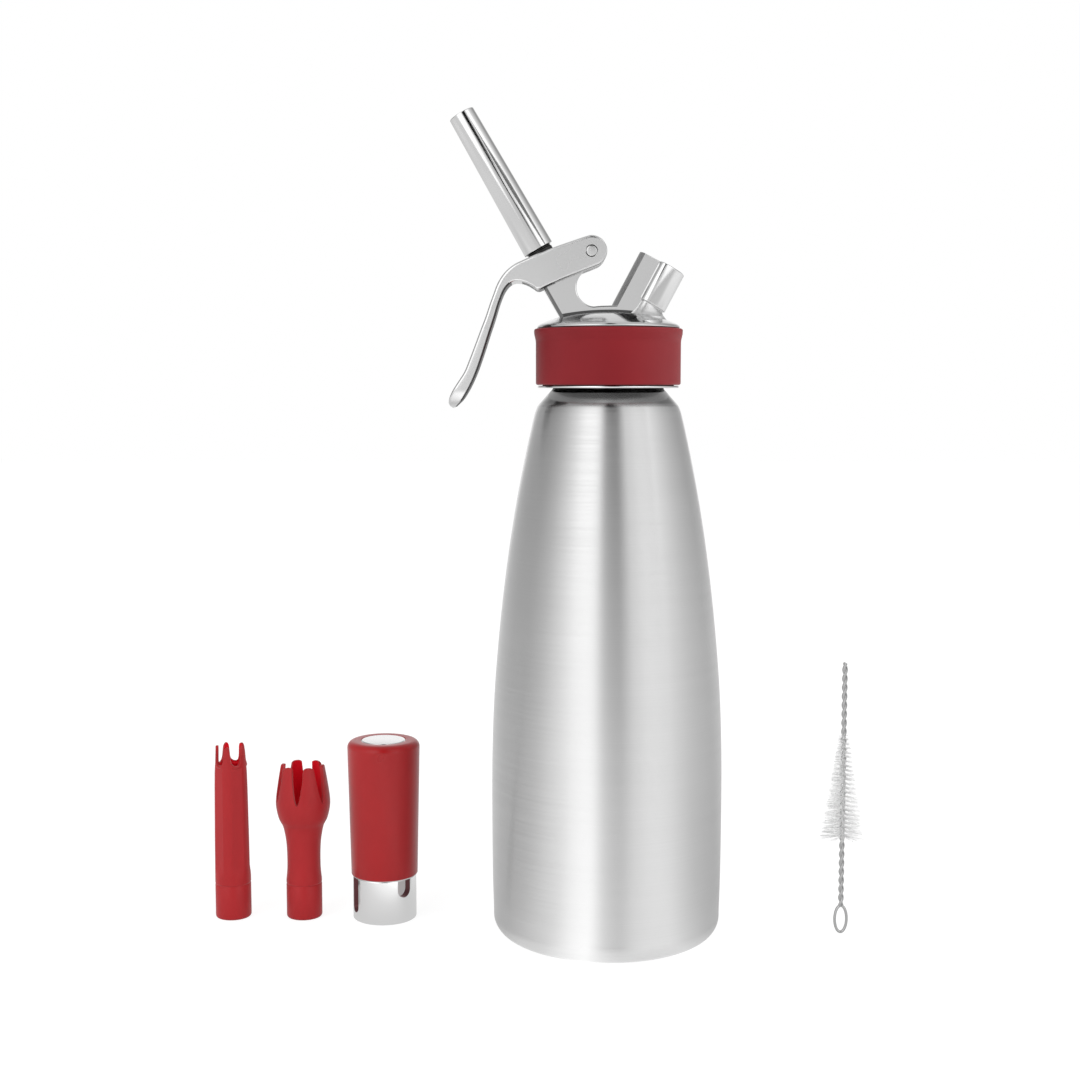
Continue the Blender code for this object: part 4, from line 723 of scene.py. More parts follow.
@dataclass
class Flask:
    """The spun flask with its threaded neck.

    Attributes:
        radius: Largest radius.
        wall: Wall thickness.
        corner: Radius of the base corner.
        shoulder: Height of the shoulder's edge.
        lip: Height of the lip.
        neck_radius: Root radius of the thread.
        bore: Radius of the neck's bore.
        pitch: Rise of the thread in one turn.
        thread_depth: Height of the thread's ridge.
        side_shares: Radius and height of the side as shares of radius and shoulder.
    """

    radius: float = 46.46 * MM
    wall: float = 1.4 * MM
    corner: float = 7.5 * MM
    shoulder: float = 214.3 * MM
    lip: float = 239.0 * MM
    neck_radius: float = 21.8 * MM
    bore: float = 20.0 * MM
    pitch: float = 3.0 * MM
    thread_depth: float = 1.2 * MM
    thread_start: float = 224.6 * MM
    thread_end: float = 231.4 * MM
    side_shares: tuple[Point, ...] = (
        (0.988, 0.035), (0.9885, 0.050), (0.996, 0.110), (1.0, 0.200), (1.0, 0.300), (0.993, 0.380),
        (0.977, 0.460), (0.953, 0.530), (0.920, 0.605), (0.880, 0.680), (0.832, 0.755), (0.775, 0.830),
        (0.712, 0.900), (0.652, 0.960), (0.622, 0.986),
    )

    def side(self) -> np.ndarray:
        """Return the outer side from the base corner to the shoulder's edge."""
        shares = np.array(self.side_shares) * [self.radius, self.shoulder]
        return smooth_curve(shares, 8)

    def shoulder_line(self) -> np.ndarray:
        """Return the shoulder's rounded edge and the cone down to the neck's root."""
        rise = self.shoulder * 0.986
        return rounded([(self.radius * 0.622, rise), (27.9 * MM, self.shoulder - 0.4 * MM),
                        (22.9 * MM, 219.6 * MM), (self.neck_radius, 220.6 * MM),
                        (self.neck_radius, self.thread_start - 1.0 * MM)], 0.9 * MM)

    def thread(self, rows: np.ndarray, segments: int) -> np.ndarray:
        """Return the thread's push: depth times (1 + cos(2 pi z / pitch - a)) / 2, faded at both ends."""
        angle = np.linspace(0, 2 * np.pi, segments, endpoint=False)[None, :]
        height = rows[:, 1:2]
        ridge = (1 + np.cos(2 * np.pi * (height - self.thread_start) / self.pitch - angle)) / 2
        fade = np.minimum(height - self.thread_start, self.thread_end - height) / (1.2 * MM)
        return self.thread_depth * ridge * np.clip(fade, 0, 1)

    def build(self) -> None:
        """Make the flask as one turned surface, outer side, lip and inner side."""
        foot = arc((self.radius * 0.988 - self.corner, self.corner), self.corner, -90, 0, 12)
        neck_rows = np.linspace(self.thread_start, self.thread_end, 60)
        neck = np.stack([np.full(60, self.neck_radius), neck_rows], axis=1)
        lip = rounded([(self.neck_radius, self.thread_end + 0.5 * MM), (self.neck_radius, self.lip),
                       (self.bore, self.lip), (self.bore, self.lip - 18.6 * MM),
                       (self.radius * 0.61, self.shoulder * 0.985)], 0.5 * MM)
        inner_side = self.side()[::-4] - [self.wall, 0.0]
        floor = np.array([(self.radius - self.corner - self.wall, 2.0 * MM), (0.0, 2.0 * MM)])
        profile = np.concatenate([[[0.0, 0.0]], foot, self.side()[1:-1], self.shoulder_line(), neck, lip,
                                  inner_side[1:], floor])
        segments = 192
        push = self.thread(profile, segments)
        outer_rows = np.arange(len(profile)) < 1 + len(foot) + len(self.side()) - 2 + len(self.shoulder_line()) + 60
        push *= outer_rows[:, None]
        make("flask_shell", turned(profile, segments, push), BRUSHED, Body.FLASK, ("bottle",))


# Head


@dataclass
class Frames:
    """The tilted frames that the head's parts share.

    Attributes:
        pivot: The lever's pivot, x and z.
        valve_tilt: Lean of the valve's axis.
        valve_arm: Distance from the pivot to the valve's axis.
        port_end: Centre of the port's end face, x and z.
        port_tilt: Lean of the port's axis.
        seat: Height of the gasket's seat in the head.
    """

    pivot: Point = (-7.0 * MM, 273.9 * MM)
    valve_tilt: float = math.radians(30.0)
    valve_arm: float = 17.24 * MM
    port_end: Point = (21.1 * MM, 269.5 * MM)
    port_tilt: float = math.radians(28.0)
    seat: float = 241.5 * MM

    def valve(self) -> Matrix:
        """Return the valve's frame: Z up its axis, X toward the pivot."""
        foot = (self.pivot[0] - self.valve_arm * math.cos(self.valve_tilt), 0.0,
                self.pivot[1] - self.valve_arm * math.sin(self.valve_tilt))
        return Matrix.Translation(foot) @ Matrix.Rotation(-self.valve_tilt, 4, "Y")

    def port(self) -> Matrix:
        """Return the port's frame: Z out of its end face."""
        return Matrix.Translation((self.port_end[0], 0.0, self.port_end[1])) @ Matrix.Rotation(
            self.port_tilt, 4, "Y")

    def pin(self) -> Matrix:
        """Return the pivot's frame: Z along the pin."""
        return Matrix.Translation((self.pivot[0], 0.0, self.pivot[1])) @ Matrix.Rotation(math.pi / 2, 4, "X")

    def valve_point(self, across: float, along: float) -> Point:
        """Return x and z of a point in the valve's frame."""
        place = self.valve() @ Vector((across, 0.0, along))
        return (place.x, place.z)

    def port_point(self, across: float, along: float) -> Point:
        """Return x and z of a point in the port's frame."""
        place = self.port() @ Vector((across, 0.0, along))
        return (place.x, place.z)


FRAMES = Frames()


@dataclass
class HeadCasting:
    """The steel casting: skirt, dome, flat-sided web with valve post and pivot ear, charger port.

    Attributes:
        rim: Radius of the dome's rim.
        dome: Height of the dome above the gasket's seat.
        slab_half: Half thickness of the web.
        port_radius: Radius of the charger port.
        port_length: Length of the port's thread.
        bore: Radius of its socket.
    """

    rim: float = 28.2 * MM
    rim_height: float = 2.9 * MM
    dome: float = 9.2 * MM
    skirt: float = 20.7 * MM
    band_seat: float = 26.0 * MM
    flange: float = 28.0 * MM
    root: float = 23.5 * MM
    slab_half: float = 6.0 * MM
    port_radius: float = 9.9 * MM
    port_length: float = 16.2 * MM
    port_neck: float = 9.1 * MM
    bore: float = 5.1 * MM
    bore_depth: float = 12.0 * MM
    dome_shares: tuple[Point, ...] = (
        (1.0, 0.365), (0.975, 0.45), (0.90, 0.555), (0.80, 0.67), (0.66, 0.80), (0.50, 0.90),
        (0.33, 0.96), (0.16, 0.995), (0.0, 1.0),
    )

    def shell(self) -> Shape:
        """Return the turned part: dome, rim, band seat, flange and skirt with its thread."""
        seat = FRAMES.seat
        dome = smooth_curve(np.array(self.dome_shares) * [self.rim, self.dome] + [0.0, seat], 5)[::-1]
        side = rounded([(self.rim, seat + self.rim_height + 0.3 * MM), (self.rim, seat + self.rim_height),
                        (self.band_seat, seat + self.rim_height), (self.band_seat, seat - self.skirt + 0.9 * MM),
                        (self.flange, seat - self.skirt + 0.9 * MM), (self.flange, seat - self.skirt),
                        (self.root, seat - self.skirt), (self.root, seat - 18.6 * MM)], 0.3 * MM)
        rows = np.linspace(seat - 18.5 * MM, seat - 9.7 * MM, 70)
        thread = np.stack([np.full(70, self.root), rows], axis=1)
        inside = np.array([(self.root, seat - 9.6 * MM), (self.root, seat), (19.4 * MM, seat),
                           (17.6 * MM, seat + 4.2 * MM), (0.0, seat + 4.2 * MM)])
        profile = np.concatenate([dome, side, thread, inside])
        segments = 160
        push = np.zeros((len(profile), segments))
        start = len(dome) + len(side)
        angle = np.linspace(0, 2 * np.pi, segments, endpoint=False)[None, :]
        ridge = (1 + np.cos(2 * np.pi * (rows[:, None] - 224.6 * MM) / (3.0 * MM) - angle)) / 2
        fade = np.clip(np.minimum(rows - rows[0], rows[-1] - rows) / (1.2 * MM), 0, 1)[:, None]
        push[start:start + 70] = -1.2 * MM * fade * (1 - ridge)
        return turned(profile, segments, push)

    def web(self) -> Shape:
        """Return the web: post, pivot ear, hollow and saddle, with the port's flat flank in one slab.

        Each point of the outline moves in by e A + d B. The first term rounds the web's edges: e is
        r (1 - sin a) at the depth r (1 - cos a). The second turns the flank's lever side round the
        port's axis: d = R - sqrt(R^2 - y^2). A and B are the steps of each point.
        """
        foot_z = FRAMES.seat + 4.5 * MM
        back = FRAMES.valve_point(-6.06 * MM, -2.4 * MM)
        back_foot = (back[0] + (back[1] - foot_z) * math.tan(FRAMES.valve_tilt), foot_z)
        front = FRAMES.valve_point(5.3 * MM, -2.4 * MM)
        ear = arc(FRAMES.pivot, 5.4 * MM, 157, -110, 40)
        hollow = arc((-5.3 * MM, FRAMES.seat + 18.6 * MM), 7.5 * MM, 134, 265, 30)
        flank_foot = -23.9 * MM
        saddle = np.array(FRAMES.port_point(-self.port_radius, flank_foot))
        bow = smooth_curve(np.array([hollow[-1], (-3.0 * MM, saddle[1] - 0.15 * MM), saddle]), 6)
        flank = np.array([FRAMES.port_point(-self.port_radius, flank_foot * share)
                          for share in (0.97, 0.7, 0.4, 0.1)])
        end = np.array([FRAMES.port_point(-self.port_radius, -0.03 * MM), FRAMES.port_point(1 * MM, -0.03 * MM)])
        inner = np.array([FRAMES.port_point(1 * MM, -20 * MM), (9.6 * MM, foot_z)])
        line = np.concatenate([[back_foot], [back], [front], ear, hollow[:-1], bow, flank, end, inner])[::-1]
        axis = np.array([math.sin(FRAMES.port_tilt), math.cos(FRAMES.port_tilt)])
        across = np.array([axis[1], -axis[0]])
        edge_step = inward(line)
        round_step = np.zeros_like(edge_step)
        corner = len(inner) + 1
        first, last = corner + 1, corner + len(flank)
        edge_step[corner] = -axis
        edge_step[first:last + 1] = 0.0
        edge_step[last + 1] = -axis / axis[1]
        round_step[corner:last + 1] = across
        round_step[last + 1] = across + axis * axis[0] / axis[1]
        edge = 0.45 * MM
        angle = np.radians([0.0, 22.5, 45.0, 67.5, 90.0])
        half = self.slab_half
        depth = np.concatenate([half - edge + edge * np.cos(angle), np.array([4.4, 3.0, 1.5]) * MM])
        drawn_in = np.concatenate([edge * (1 - np.sin(angle)), np.zeros(3)])
        turned_in = self.port_radius - np.sqrt(self.port_radius ** 2 - depth ** 2)
        depth = np.concatenate([-depth, [0.0], depth[::-1]])
        drawn_in = np.concatenate([drawn_in, [0.0], drawn_in[::-1]])
        turned_in = np.concatenate([turned_in, [0.0], turned_in[::-1]])
        return slab(line + drawn_in[:, None, None] * edge_step + turned_in[:, None, None] * round_step, depth)

    def port(self) -> Shape:
        """Return the port's round half, from its flared root to its bevelled end face.

        The rings near the foot lie level, at heights that rise from the dome, and widen toward it.
        """
        limit, edge = -1.5 * MM, 3.0 * MM
        across = limit + edge
        height = math.sqrt((self.port_radius - edge) ** 2 - across ** 2)
        turn = math.degrees(math.atan2(height, across))
        right = arc((0.0, 0.0), self.port_radius, -turn, turn, 88)
        upper, lower = arc((across, height), edge, turn, 180.0, 12), arc((across, -height), edge, 180.0, 360.0 - turn, 12)
        left = np.stack([np.full(9, limit), np.linspace(height, -height, 11)[1:-1]], axis=1)
        ring = np.concatenate([right, upper[1:], left, lower[:-1]])
        step = inward(ring)
        lean = math.tan(FRAMES.port_tilt)
        rows = []
        levels = [(246.3, -3.4), (248.7, -2.3), (249.3, -1.5), (250.0, -0.75), (250.9, -0.1), (252.0, 0.4),
                  (253.2, 0.7), (254.6, 0.8)]
        for number, (level, drawn_in) in enumerate(levels):
            flat = ring + drawn_in * MM * step
            along = (level * MM - FRAMES.port_end[1]) / math.cos(FRAMES.port_tilt) + flat[:, 0] * lean
            top = -self.port_length - (len(levels) - number) * 0.35 * MM
            rows.append(np.column_stack([flat, np.minimum(along, top)]))
        for along, drawn_in in ((-self.port_length, 0.0), (-self.port_length + 0.3 * MM, -0.01 * MM),
                                (-0.5 * MM, 0.0), (-0.22 * MM, 0.08 * MM), (0.0, 0.35 * MM)):
            rows.append(np.column_stack([ring + drawn_in * step, np.full(len(ring), along)]))
        return grid_shape(np.stack(rows), caps=True).placed(FRAMES.port())

    def bores(self) -> list[Shape]:
        """Return the cutters: charger socket with its bevel, valve bore with its spring chamber, pin hole."""
        socket = np.array([(0.0, -self.bore_depth - 2.2 * MM), (2.9 * MM, -self.bore_depth - 2.2 * MM),
                           (2.9 * MM, -self.bore_depth), (self.bore, -self.bore_depth), (self.bore, -0.6 * MM),
                           (self.bore + 1.2 * MM, 0.6 * MM), (0.0, 0.6 * MM)])
        valve = np.array([(0.0, -31.0 * MM), (2.95 * MM, -31.0 * MM), (2.95 * MM, -11.4 * MM),
                          (3.3 * MM, -11.4 * MM), (3.3 * MM, -2.9 * MM), (4.2 * MM, -2.0 * MM), (0.0, -2.0 * MM)])
        hole = np.array([(0.0, -8 * MM), (2.4 * MM, -8 * MM), (2.4 * MM, 8 * MM), (0.0, 8 * MM)])
        half_step = Matrix.Rotation(math.pi / 48, 4, "Z")
        return [turned(socket, 64).placed(FRAMES.port() @ half_step),
                turned(valve, 48).placed(FRAMES.valve() @ half_step), turned(hole, 48).placed(FRAMES.pin())]

    def build(self) -> None:
        """Make the casting: its parts joined, its bores cut, then its bosses inside the skirt."""
        casting = raw_mesh("head_casting", self.shell())
        carve(casting, self.web(), Carving.JOIN)
        carve(casting, self.port(), Carving.JOIN)
        valve_boss = np.array([(0.0, -28.5 * MM), (6.3 * MM, -28.5 * MM), (6.6 * MM, -28.2 * MM),
                               (6.6 * MM, -19.3 * MM), (0.0, -19.3 * MM)])
        carve(casting, turned(valve_boss, 64).placed(FRAMES.valve()), Carving.JOIN)
        inlet_boss = np.array([(0.0, -30.3 * MM), (4.8 * MM, -30.3 * MM), (5.0 * MM, -30.1 * MM),
                               (5.0 * MM, -24.0 * MM), (0.0, -24.0 * MM)])
        carve(casting, turned(inlet_boss, 64).placed(FRAMES.port()), Carving.JOIN)
        for cutter in self.bores():
            carve(casting, cutter, Carving.CUT)
        dress(casting, CAST, Body.HEAD, ("head_body",), 30.0, True)
        self.roughen_foot_and_shade_flank(casting)

    def roughen_foot_and_shade_flank(self, casting: bpy.types.Object) -> None:
        """Give the port's flared foot a rougher finish with a slightly lighter tone of painted light, and the back of
        its flank a darker tone of painted shade.
        """
        casting.data.materials.append(Palette.get(ROUGH_FOOT_PAINTED_LIGHT))
        casting.data.materials.append(Palette.get(FLANK_PAINTED_SHADE))
        normals, centres = face_arrays(casting.data)
        place = FRAMES.port()
        turn = np.array(place.to_3x3())
        local = (centres - np.array(place.translation)) @ turn
        facing = normals @ turn
        distance = np.hypot(local[:, 0], local[:, 1])
        # The foot's faces: rougher finish, lighter tone of painted light.
        foot = (distance > 6.0 * MM) & (distance < 14.0 * MM) & (local[:, 0] > -1.7 * MM)
        foot &= (local[:, 2] < 0.25 * MM - self.port_length) & (centres[:, 2] > 246.6 * MM)
        # The flank's faces that look back, darkened as painted shade.
        flank = (facing[:, 0] < -0.3) & (local[:, 0] < -6.0 * MM) & (local[:, 2] > -23.6 * MM)
        flank &= (local[:, 2] < -0.3 * MM) & (distance > 8.5 * MM) & (distance < 10.4 * MM)
        casting.data.polygons.foreach_set("material_index", (foot + 2 * (flank & ~foot)).astype(np.int32))


@dataclass
class GripBand:
    """The silicone band round the head, with its flared top lip."""

    inner: float = 26.3 * MM
    radius: float = 28.7 * MM
    lip: float = 29.4 * MM
    bottom: float = 222.0 * MM
    top: float = 244.1 * MM

    def build(self) -> None:
        """Make the band as one turned profile with rounded corners."""
        corners = [(self.inner, (self.bottom + self.top) / 2), (self.inner, self.bottom),
                   (self.radius, self.bottom), (self.radius, self.top - 5.0 * MM),
                   (self.lip, self.top - 1.8 * MM), (self.lip, self.top), (self.inner, self.top),
                   (self.inner, (self.bottom + self.top) / 2 + 1 * MM)]
        make("band_skin", turned(rounded(corners, 0.9 * MM, 6), 160), BAND_RED, Body.HEAD,
             ("grip_band",))


# Lever and valve


@dataclass
class Lever:
    """The forked lever with its long curved handle.

    Attributes:
        half_width: Half the lever's width at the cheeks.
        inner: Half the gap between the cheeks.
        cheek: Radius of the cheek's end.
        edge: Radius of its edges.
        sections: Upper and lower point of each section about the pivot, from cheek to tip.
    """

    half_width: float = 9.6 * MM
    inner: float = 6.5 * MM
    cheek: float = 6.1 * MM
    edge: float = 1.1 * MM
    reach: float = 56.2 * MM
    drop: float = 61.0 * MM
    tip_half_width: float = 8.2 * MM
    sections: tuple[tuple[float, float, float, float], ...] = (
        (-3.9, 5.12, -1.6, -7.20), (-9.5, 3.2, -6.3, -9.08), (-15.2, 1.22, -11.1, -10.98),
        (-19.5, -0.55, -16.0, -13.10), (-23.3, -2.0, -20.4, -14.95), (-26.8, -3.55, -22.7, -13.8),
        (-29.6, -4.85, -24.9, -12.55), (-32.2, -6.71, -27.4, -11.75), (-34.2, -8.75, -29.9, -11.75),
        (-35.9, -11.2, -31.9, -12.75), (-37.2, -13.8, -33.6, -14.8), (-38.2, -16.6, -34.8, -17.2),
        (-39.7, -20.6, -36.2, -21.0), (-41.4, -25.6, -37.7, -26.0), (-43.5, -31.0, -39.6, -31.7),
        (-45.7, -36.8, -41.6, -37.9), (-47.8, -42.2, -43.5, -43.5), (-49.8, -46.9, -45.3, -48.2),
        (-52.4, -50.9, -47.2, -52.3), (-54.3, -53.9, -48.8, -55.2), (-55.7, -56.8, -50.4, -57.7),
        (-56.1, -58.9, -51.9, -59.3), (-55.6, -60.2, -53.2, -60.5),
    )

    def spine(self) -> tuple[np.ndarray, np.ndarray]:
        """Return the upper and lower line of the side view, about the pivot."""
        upper = arc((0.0, 0.0), self.cheek, 16, 100, 16)
        lower = arc((0.0, 0.0), self.cheek, 16, -68, 16)
        rows = smooth_curve(np.array(self.sections) * MM, 5)
        upper = np.concatenate([upper, rows[:, :2], [[-54.6 * MM, -61.0 * MM]]])
        lower = np.concatenate([lower, rows[:, 2:], [[-54.5 * MM, -61.0 * MM]]])
        return upper, lower

    def half_widths(self, height: np.ndarray) -> np.ndarray:
        """Return the half width at each height: full, a slight taper, then a round tip.

        Round the tip the width follows the circle: w = sqrt(r^2 - (z - c)^2), with c one radius above
        the lever's end.
        """
        start = -self.drop / 2
        centre = -self.drop + self.tip_half_width
        taper = np.clip((height - start) / (centre - start), 0, 1)
        width = self.half_width + (self.tip_half_width - self.half_width) * taper
        past = np.clip(centre - height, 0, self.tip_half_width * 0.9999)
        return np.where(past > 0, np.sqrt(self.tip_half_width ** 2 - past ** 2), width)

    def blank(self) -> Shape:
        """Return the lever before its fork is cut: rounded rectangles along the side view's sections."""
        upper, lower = self.spine()
        centre = (upper + lower) / 2
        thick = np.linalg.norm(upper - lower, axis=1) / 2
        across = (upper - lower) / np.maximum(2 * thick[:, None], 1e-9)
        across[0] = across[1]
        width = self.half_widths(centre[:, 1])
        edge = np.minimum(np.minimum(self.edge, thick * 0.6), width * 0.6)
        angle = np.radians(np.concatenate([np.linspace(quarter, quarter + 90, 6) for quarter in (0, 90, 180, 270)]))
        corner_u = np.repeat([1, -1, -1, 1], 6)[None, :]
        corner_y = np.repeat([1, 1, -1, -1], 6)[None, :]
        u = corner_u * (thick - edge)[:, None] + edge[:, None] * np.cos(angle)[None, :]
        y = corner_y * (width - edge)[:, None] + edge[:, None] * np.sin(angle)[None, :]
        x = centre[:, 0:1] + across[:, 0:1] * u + FRAMES.pivot[0]
        z = centre[:, 1:2] + across[:, 1:2] * u + FRAMES.pivot[1]
        return grid_shape(np.stack([x, y, z], axis=-1), caps=True)

    def fork(self) -> list[Shape]:
        """Return the cutters that open the fork, the stem's slot and the pin's hole."""
        far = self.reach
        side = FRAMES.pivot[0] - 27.0 * MM
        slope = math.tan(FRAMES.valve_tilt)

        def on_line(x: float, along: float) -> Point:
            """Return the point at x on the line across the valve at one height."""
            start = FRAMES.valve_point(0.0, along)
            return (x, start[1] + (x - start[0]) * slope)

        right = FRAMES.pivot[0] + far
        above = np.array([(side, FRAMES.pivot[1] + far), on_line(side, 6.6 * MM), on_line(right, 6.6 * MM),
                          (right, FRAMES.pivot[1] + far)])
        crown = [FRAMES.valve_point(across * MM, along * MM) for across, along in (
            (-9.0, 5.3), (-4.6, 4.3), (-2.3, 3.82), (0.0, 3.7), (2.3, 3.82), (4.4, 5.3), (4.4, 8.6))]
        low = FRAMES.pivot[1] - far
        below = np.array([(side, low), (side, crown[0][1])] + crown + [on_line(right, 8.6 * MM), (right, low)])
        hole = np.array([(0.0, -12 * MM), (2.4 * MM, -12 * MM), (2.4 * MM, 12 * MM), (0.0, 12 * MM)])
        slot = block((10.8 * MM, 5.2 * MM, 8.6 * MM), (1.0 * MM, 0.0, 4.6 * MM)).placed(FRAMES.valve())
        return [rounded_slab(above, self.inner, 0.02 * MM), rounded_slab(below[::-1], self.inner, 0.02 * MM),
                slot, turned(hole, 48).placed(FRAMES.pin())]

    def build(self) -> None:
        """Make the lever and its pin."""
        lever = raw_mesh("lever_casting", self.blank())
        for cutter in self.fork():
            carve(lever, cutter, Carving.CUT)
        dress(lever, SATIN, Body.LEVER, ("lever",), 32.0, True)
        # Painted shade: the handle's inner faces below the pivot are near-black.
        lever.data.materials.append(Palette.get(HANDLE_PAINTED_SHADE))
        normals, centres = face_arrays(lever.data)
        below = centres[:, 2] < FRAMES.pivot[1] - 12.2 * MM
        inside = (normals[:, 0] > 0.22) & below
        lever.data.polygons.foreach_set("material_index", inside.astype(int))
        end = self.half_width
        pin = rounded([(0.0, -end), (2.1 * MM, -end), (2.1 * MM, end), (0.0, end)], 0.4 * MM)
        make("lever_pin_turned", turned(pin, 48).placed(FRAMES.pin()), SATIN, Body.HEAD,
             ("lever_pin",))


@dataclass
class Valve:
    """Stem, adapter and nozzle on the valve's tilted axis."""

    stem: float = 1.8 * MM
    collar: float = 4.6 * MM
    poppet: float = 5.0 * MM
    nozzle_bottom: float = 11.3 * MM
    nozzle_length: float = 60.4 * MM
    base: float = 6.15 * MM
    tip: float = 5.25 * MM
    wall: float = 0.8 * MM
    spring_turns: int = 6
    spring_radius: float = 2.6 * MM
    spring_wire: float = 0.32 * MM
    spring_foot: float = -9.6 * MM
    spring_head: float = 1.2 * MM
    press: float = 3.01 * MM

    def spring(self) -> Shape:
        """Return the return spring: a helix at one radius that rises evenly from foot to head."""
        share = np.linspace(0.0, 1.0, self.spring_turns * 28 + 1)
        angle = 2 * np.pi * self.spring_turns * share
        low, high = self.spring_foot + self.spring_wire, self.spring_head - self.spring_wire
        path = np.stack([self.spring_radius * np.cos(angle), self.spring_radius * np.sin(angle),
                         low + (high - low) * share], axis=1)
        return tube(path, self.spring_wire, 12)

    def nozzle(self) -> Shape:
        """Return the tapered nozzle, its rims rounded."""
        top = self.nozzle_bottom + self.nozzle_length
        mid = (self.nozzle_bottom + top) / 2
        mean = (self.base + self.tip) / 2 - self.wall
        corners = [(mean, mid), (self.base - self.wall, self.nozzle_bottom), (self.base, self.nozzle_bottom),
                   (self.tip, top), (self.tip - self.wall, top), (mean, mid + 1 * MM)]
        return turned(rounded(corners, 0.35 * MM), 128)

    def stem_profile(self) -> np.ndarray:
        """Return the stem's profile from the poppet to the top, with its collar."""
        bottom = -32.5 * MM
        corners = [(0.0, bottom), (self.poppet, bottom), (self.poppet, bottom + 1.8 * MM),
                   (self.stem, bottom + 1.8 * MM), (self.stem, 1.5 * MM), (self.collar, 1.5 * MM),
                   (self.collar, 3.1 * MM), (self.stem, 3.1 * MM), (self.stem, 16.0 * MM),
                   (1.0 * MM, 16.0 * MM), (1.0 * MM, bottom + 3.0 * MM), (0.0, bottom + 3.0 * MM)]
        return rounded(corners, 0.25 * MM)

    def build(self) -> None:
        """Make the nozzle, stem and adapter."""
        axis = FRAMES.valve()
        make("nozzle_tube", self.nozzle().placed(axis), POLISHED, Body.VALVE, ("nozzle",))
        make("stem_turned", turned(self.stem_profile(), 64).placed(axis), PLAIN, Body.VALVE,
             ("valve_stem",))
        coil = make("return_spring", self.spring().placed(axis), PLAIN, Body.HEAD, ("valve_spring",))
        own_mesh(coil)
        adapter = rounded([(2.1 * MM, 12 * MM), (2.1 * MM, 8.3 * MM), (5.2 * MM, 8.3 * MM), (5.2 * MM, 10.4 * MM),
                           (4.9 * MM, 10.6 * MM), (4.9 * MM, 11.2 * MM), (4.2 * MM, 11.2 * MM),
                           (4.2 * MM, 12.6 * MM), (4.9 * MM, 12.6 * MM), (4.9 * MM, 19.2 * MM),
                           (2.0 * MM, 19.2 * MM), (1.0 * MM, 16.3 * MM), (2.1 * MM, 16.3 * MM),
                           (2.1 * MM, 13 * MM)], 0.2 * MM)
        make("adapter_turned", turned(adapter, 64).placed(axis), DARK_STEEL, Body.VALVE,
             ("tip_adapter",))


# Charger holder


@dataclass
class ChargerHolder:
    """The steel charger holder and its silicone sleeve."""

    height: float = 75.2 * MM
    skirt: float = 13.2 * MM
    seat: float = 12.4 * MM
    bore: float = 10.2 * MM
    disc: float = 9.0 * MM
    disc_rise: float = 0.1 * MM
    sleeve_foot: float = 18.6 * MM
    sleeve_bottom_radius: float = 13.8 * MM
    sleeve_top_radius: float = 15.0 * MM
    end_round: float = 2.9 * MM

    def place(self) -> Matrix:
        """Return where the holder stands, from the frame."""
        at = middle("holder_shell")
        return Matrix.Translation((at.x, at.y, 0.0))

    def slot(self, bottom: float, width: float, turn: float) -> Shape:
        """Return the cutter of one gas slot, its foot round.

        Args:
            bottom: Height of the slot's foot.
            width: Its width.
            turn: Its angle round the holder, in degrees.

        Returns:
            The cutter, in place.
        """
        half = width / 2
        outline = np.concatenate([arc((0.0, bottom + half), half, 180, 360, 24),
                                  [(half, self.sleeve_foot - 0.6 * MM), (-half, self.sleeve_foot - 0.6 * MM)]])
        body = rounded_slab(outline, 3.0 * MM, 0.02 * MM)
        body.points[:, 1] -= (self.bore + self.skirt) / 2
        return body.placed(self.place() @ Matrix.Rotation(math.radians(turn + 90.0), 4, "Z"))

    def build(self) -> None:
        """Make the shell with its slots, and the sleeve."""
        end = self.height - self.disc_rise
        ledge = self.sleeve_foot - 0.3 * MM
        seat_top = end - 1.9 * MM
        corners = [(0.0, end - 3.0 * MM), (self.bore, end - 3.0 * MM), (self.bore, 0.0), (self.skirt, 0.0),
                   (self.skirt, ledge), (self.seat, ledge), (self.seat, seat_top), (self.disc, seat_top),
                   (self.disc, self.height), (0.0, self.height)]
        shell = raw_mesh("holder_steel", turned(rounded(corners, 0.45 * MM), 128).placed(self.place()))
        carve(shell, self.slot(3.4 * MM, 5.0 * MM, -151.4), Carving.CUT)
        carve(shell, self.slot(10.8 * MM, 6.4 * MM, -46.5), Carving.CUT)
        dress(shell, HOLDER_STEEL, Body.HOLDER, ("holder_shell",), 32.0)
        # Painted shade inside the bore and on the slots' cut sides; the slots' sides also carry a painted red
        # reflection.
        shell.data.materials.append(Palette.get(HOLDER_BORE_PAINTED_SHADE))
        shell.data.materials.append(Palette.get(SLOT_SIDES_PAINTED_SHADE))
        _, centres = face_arrays(shell.data)
        from_axis = centres - np.array(self.place().translation)
        distance = np.hypot(from_axis[:, 0], from_axis[:, 1])
        inside = ((distance < self.bore + 0.2 * MM) & (centres[:, 2] < end - 2.5 * MM)).astype(np.int32)
        sides = (distance > self.bore + 0.2 * MM) & (distance < self.skirt - 0.2 * MM)
        sides &= (centres[:, 2] > 2.0 * MM) & (centres[:, 2] < ledge - 0.2 * MM)
        shell.data.polygons.foreach_set("material_index", np.where(sides, 2, inside).astype(np.int32))
        inner = self.seat + 0.3 * MM
        opening = self.disc + 0.3 * MM
        shoulder = arc((self.sleeve_top_radius - self.end_round, end - self.end_round), self.end_round, 0, 90, 16)
        foot = rounded([(inner, 45 * MM), (inner, self.sleeve_foot), (self.sleeve_bottom_radius, self.sleeve_foot),
                        tuple(shoulder[0])], 0.35 * MM)
        top = rounded([tuple(shoulder[-1]), (opening, end), (opening, end - 1.6 * MM), (inner, end - 1.6 * MM),
                       (inner, 46 * MM)], 0.35 * MM)
        profile = np.concatenate([foot[:-1], shoulder, top[1:]])
        make("holder_skin", turned(profile, 144).placed(self.place()), SLEEVE_RED, Body.HOLDER,
             ("holder_sleeve",))


# Decorator tips


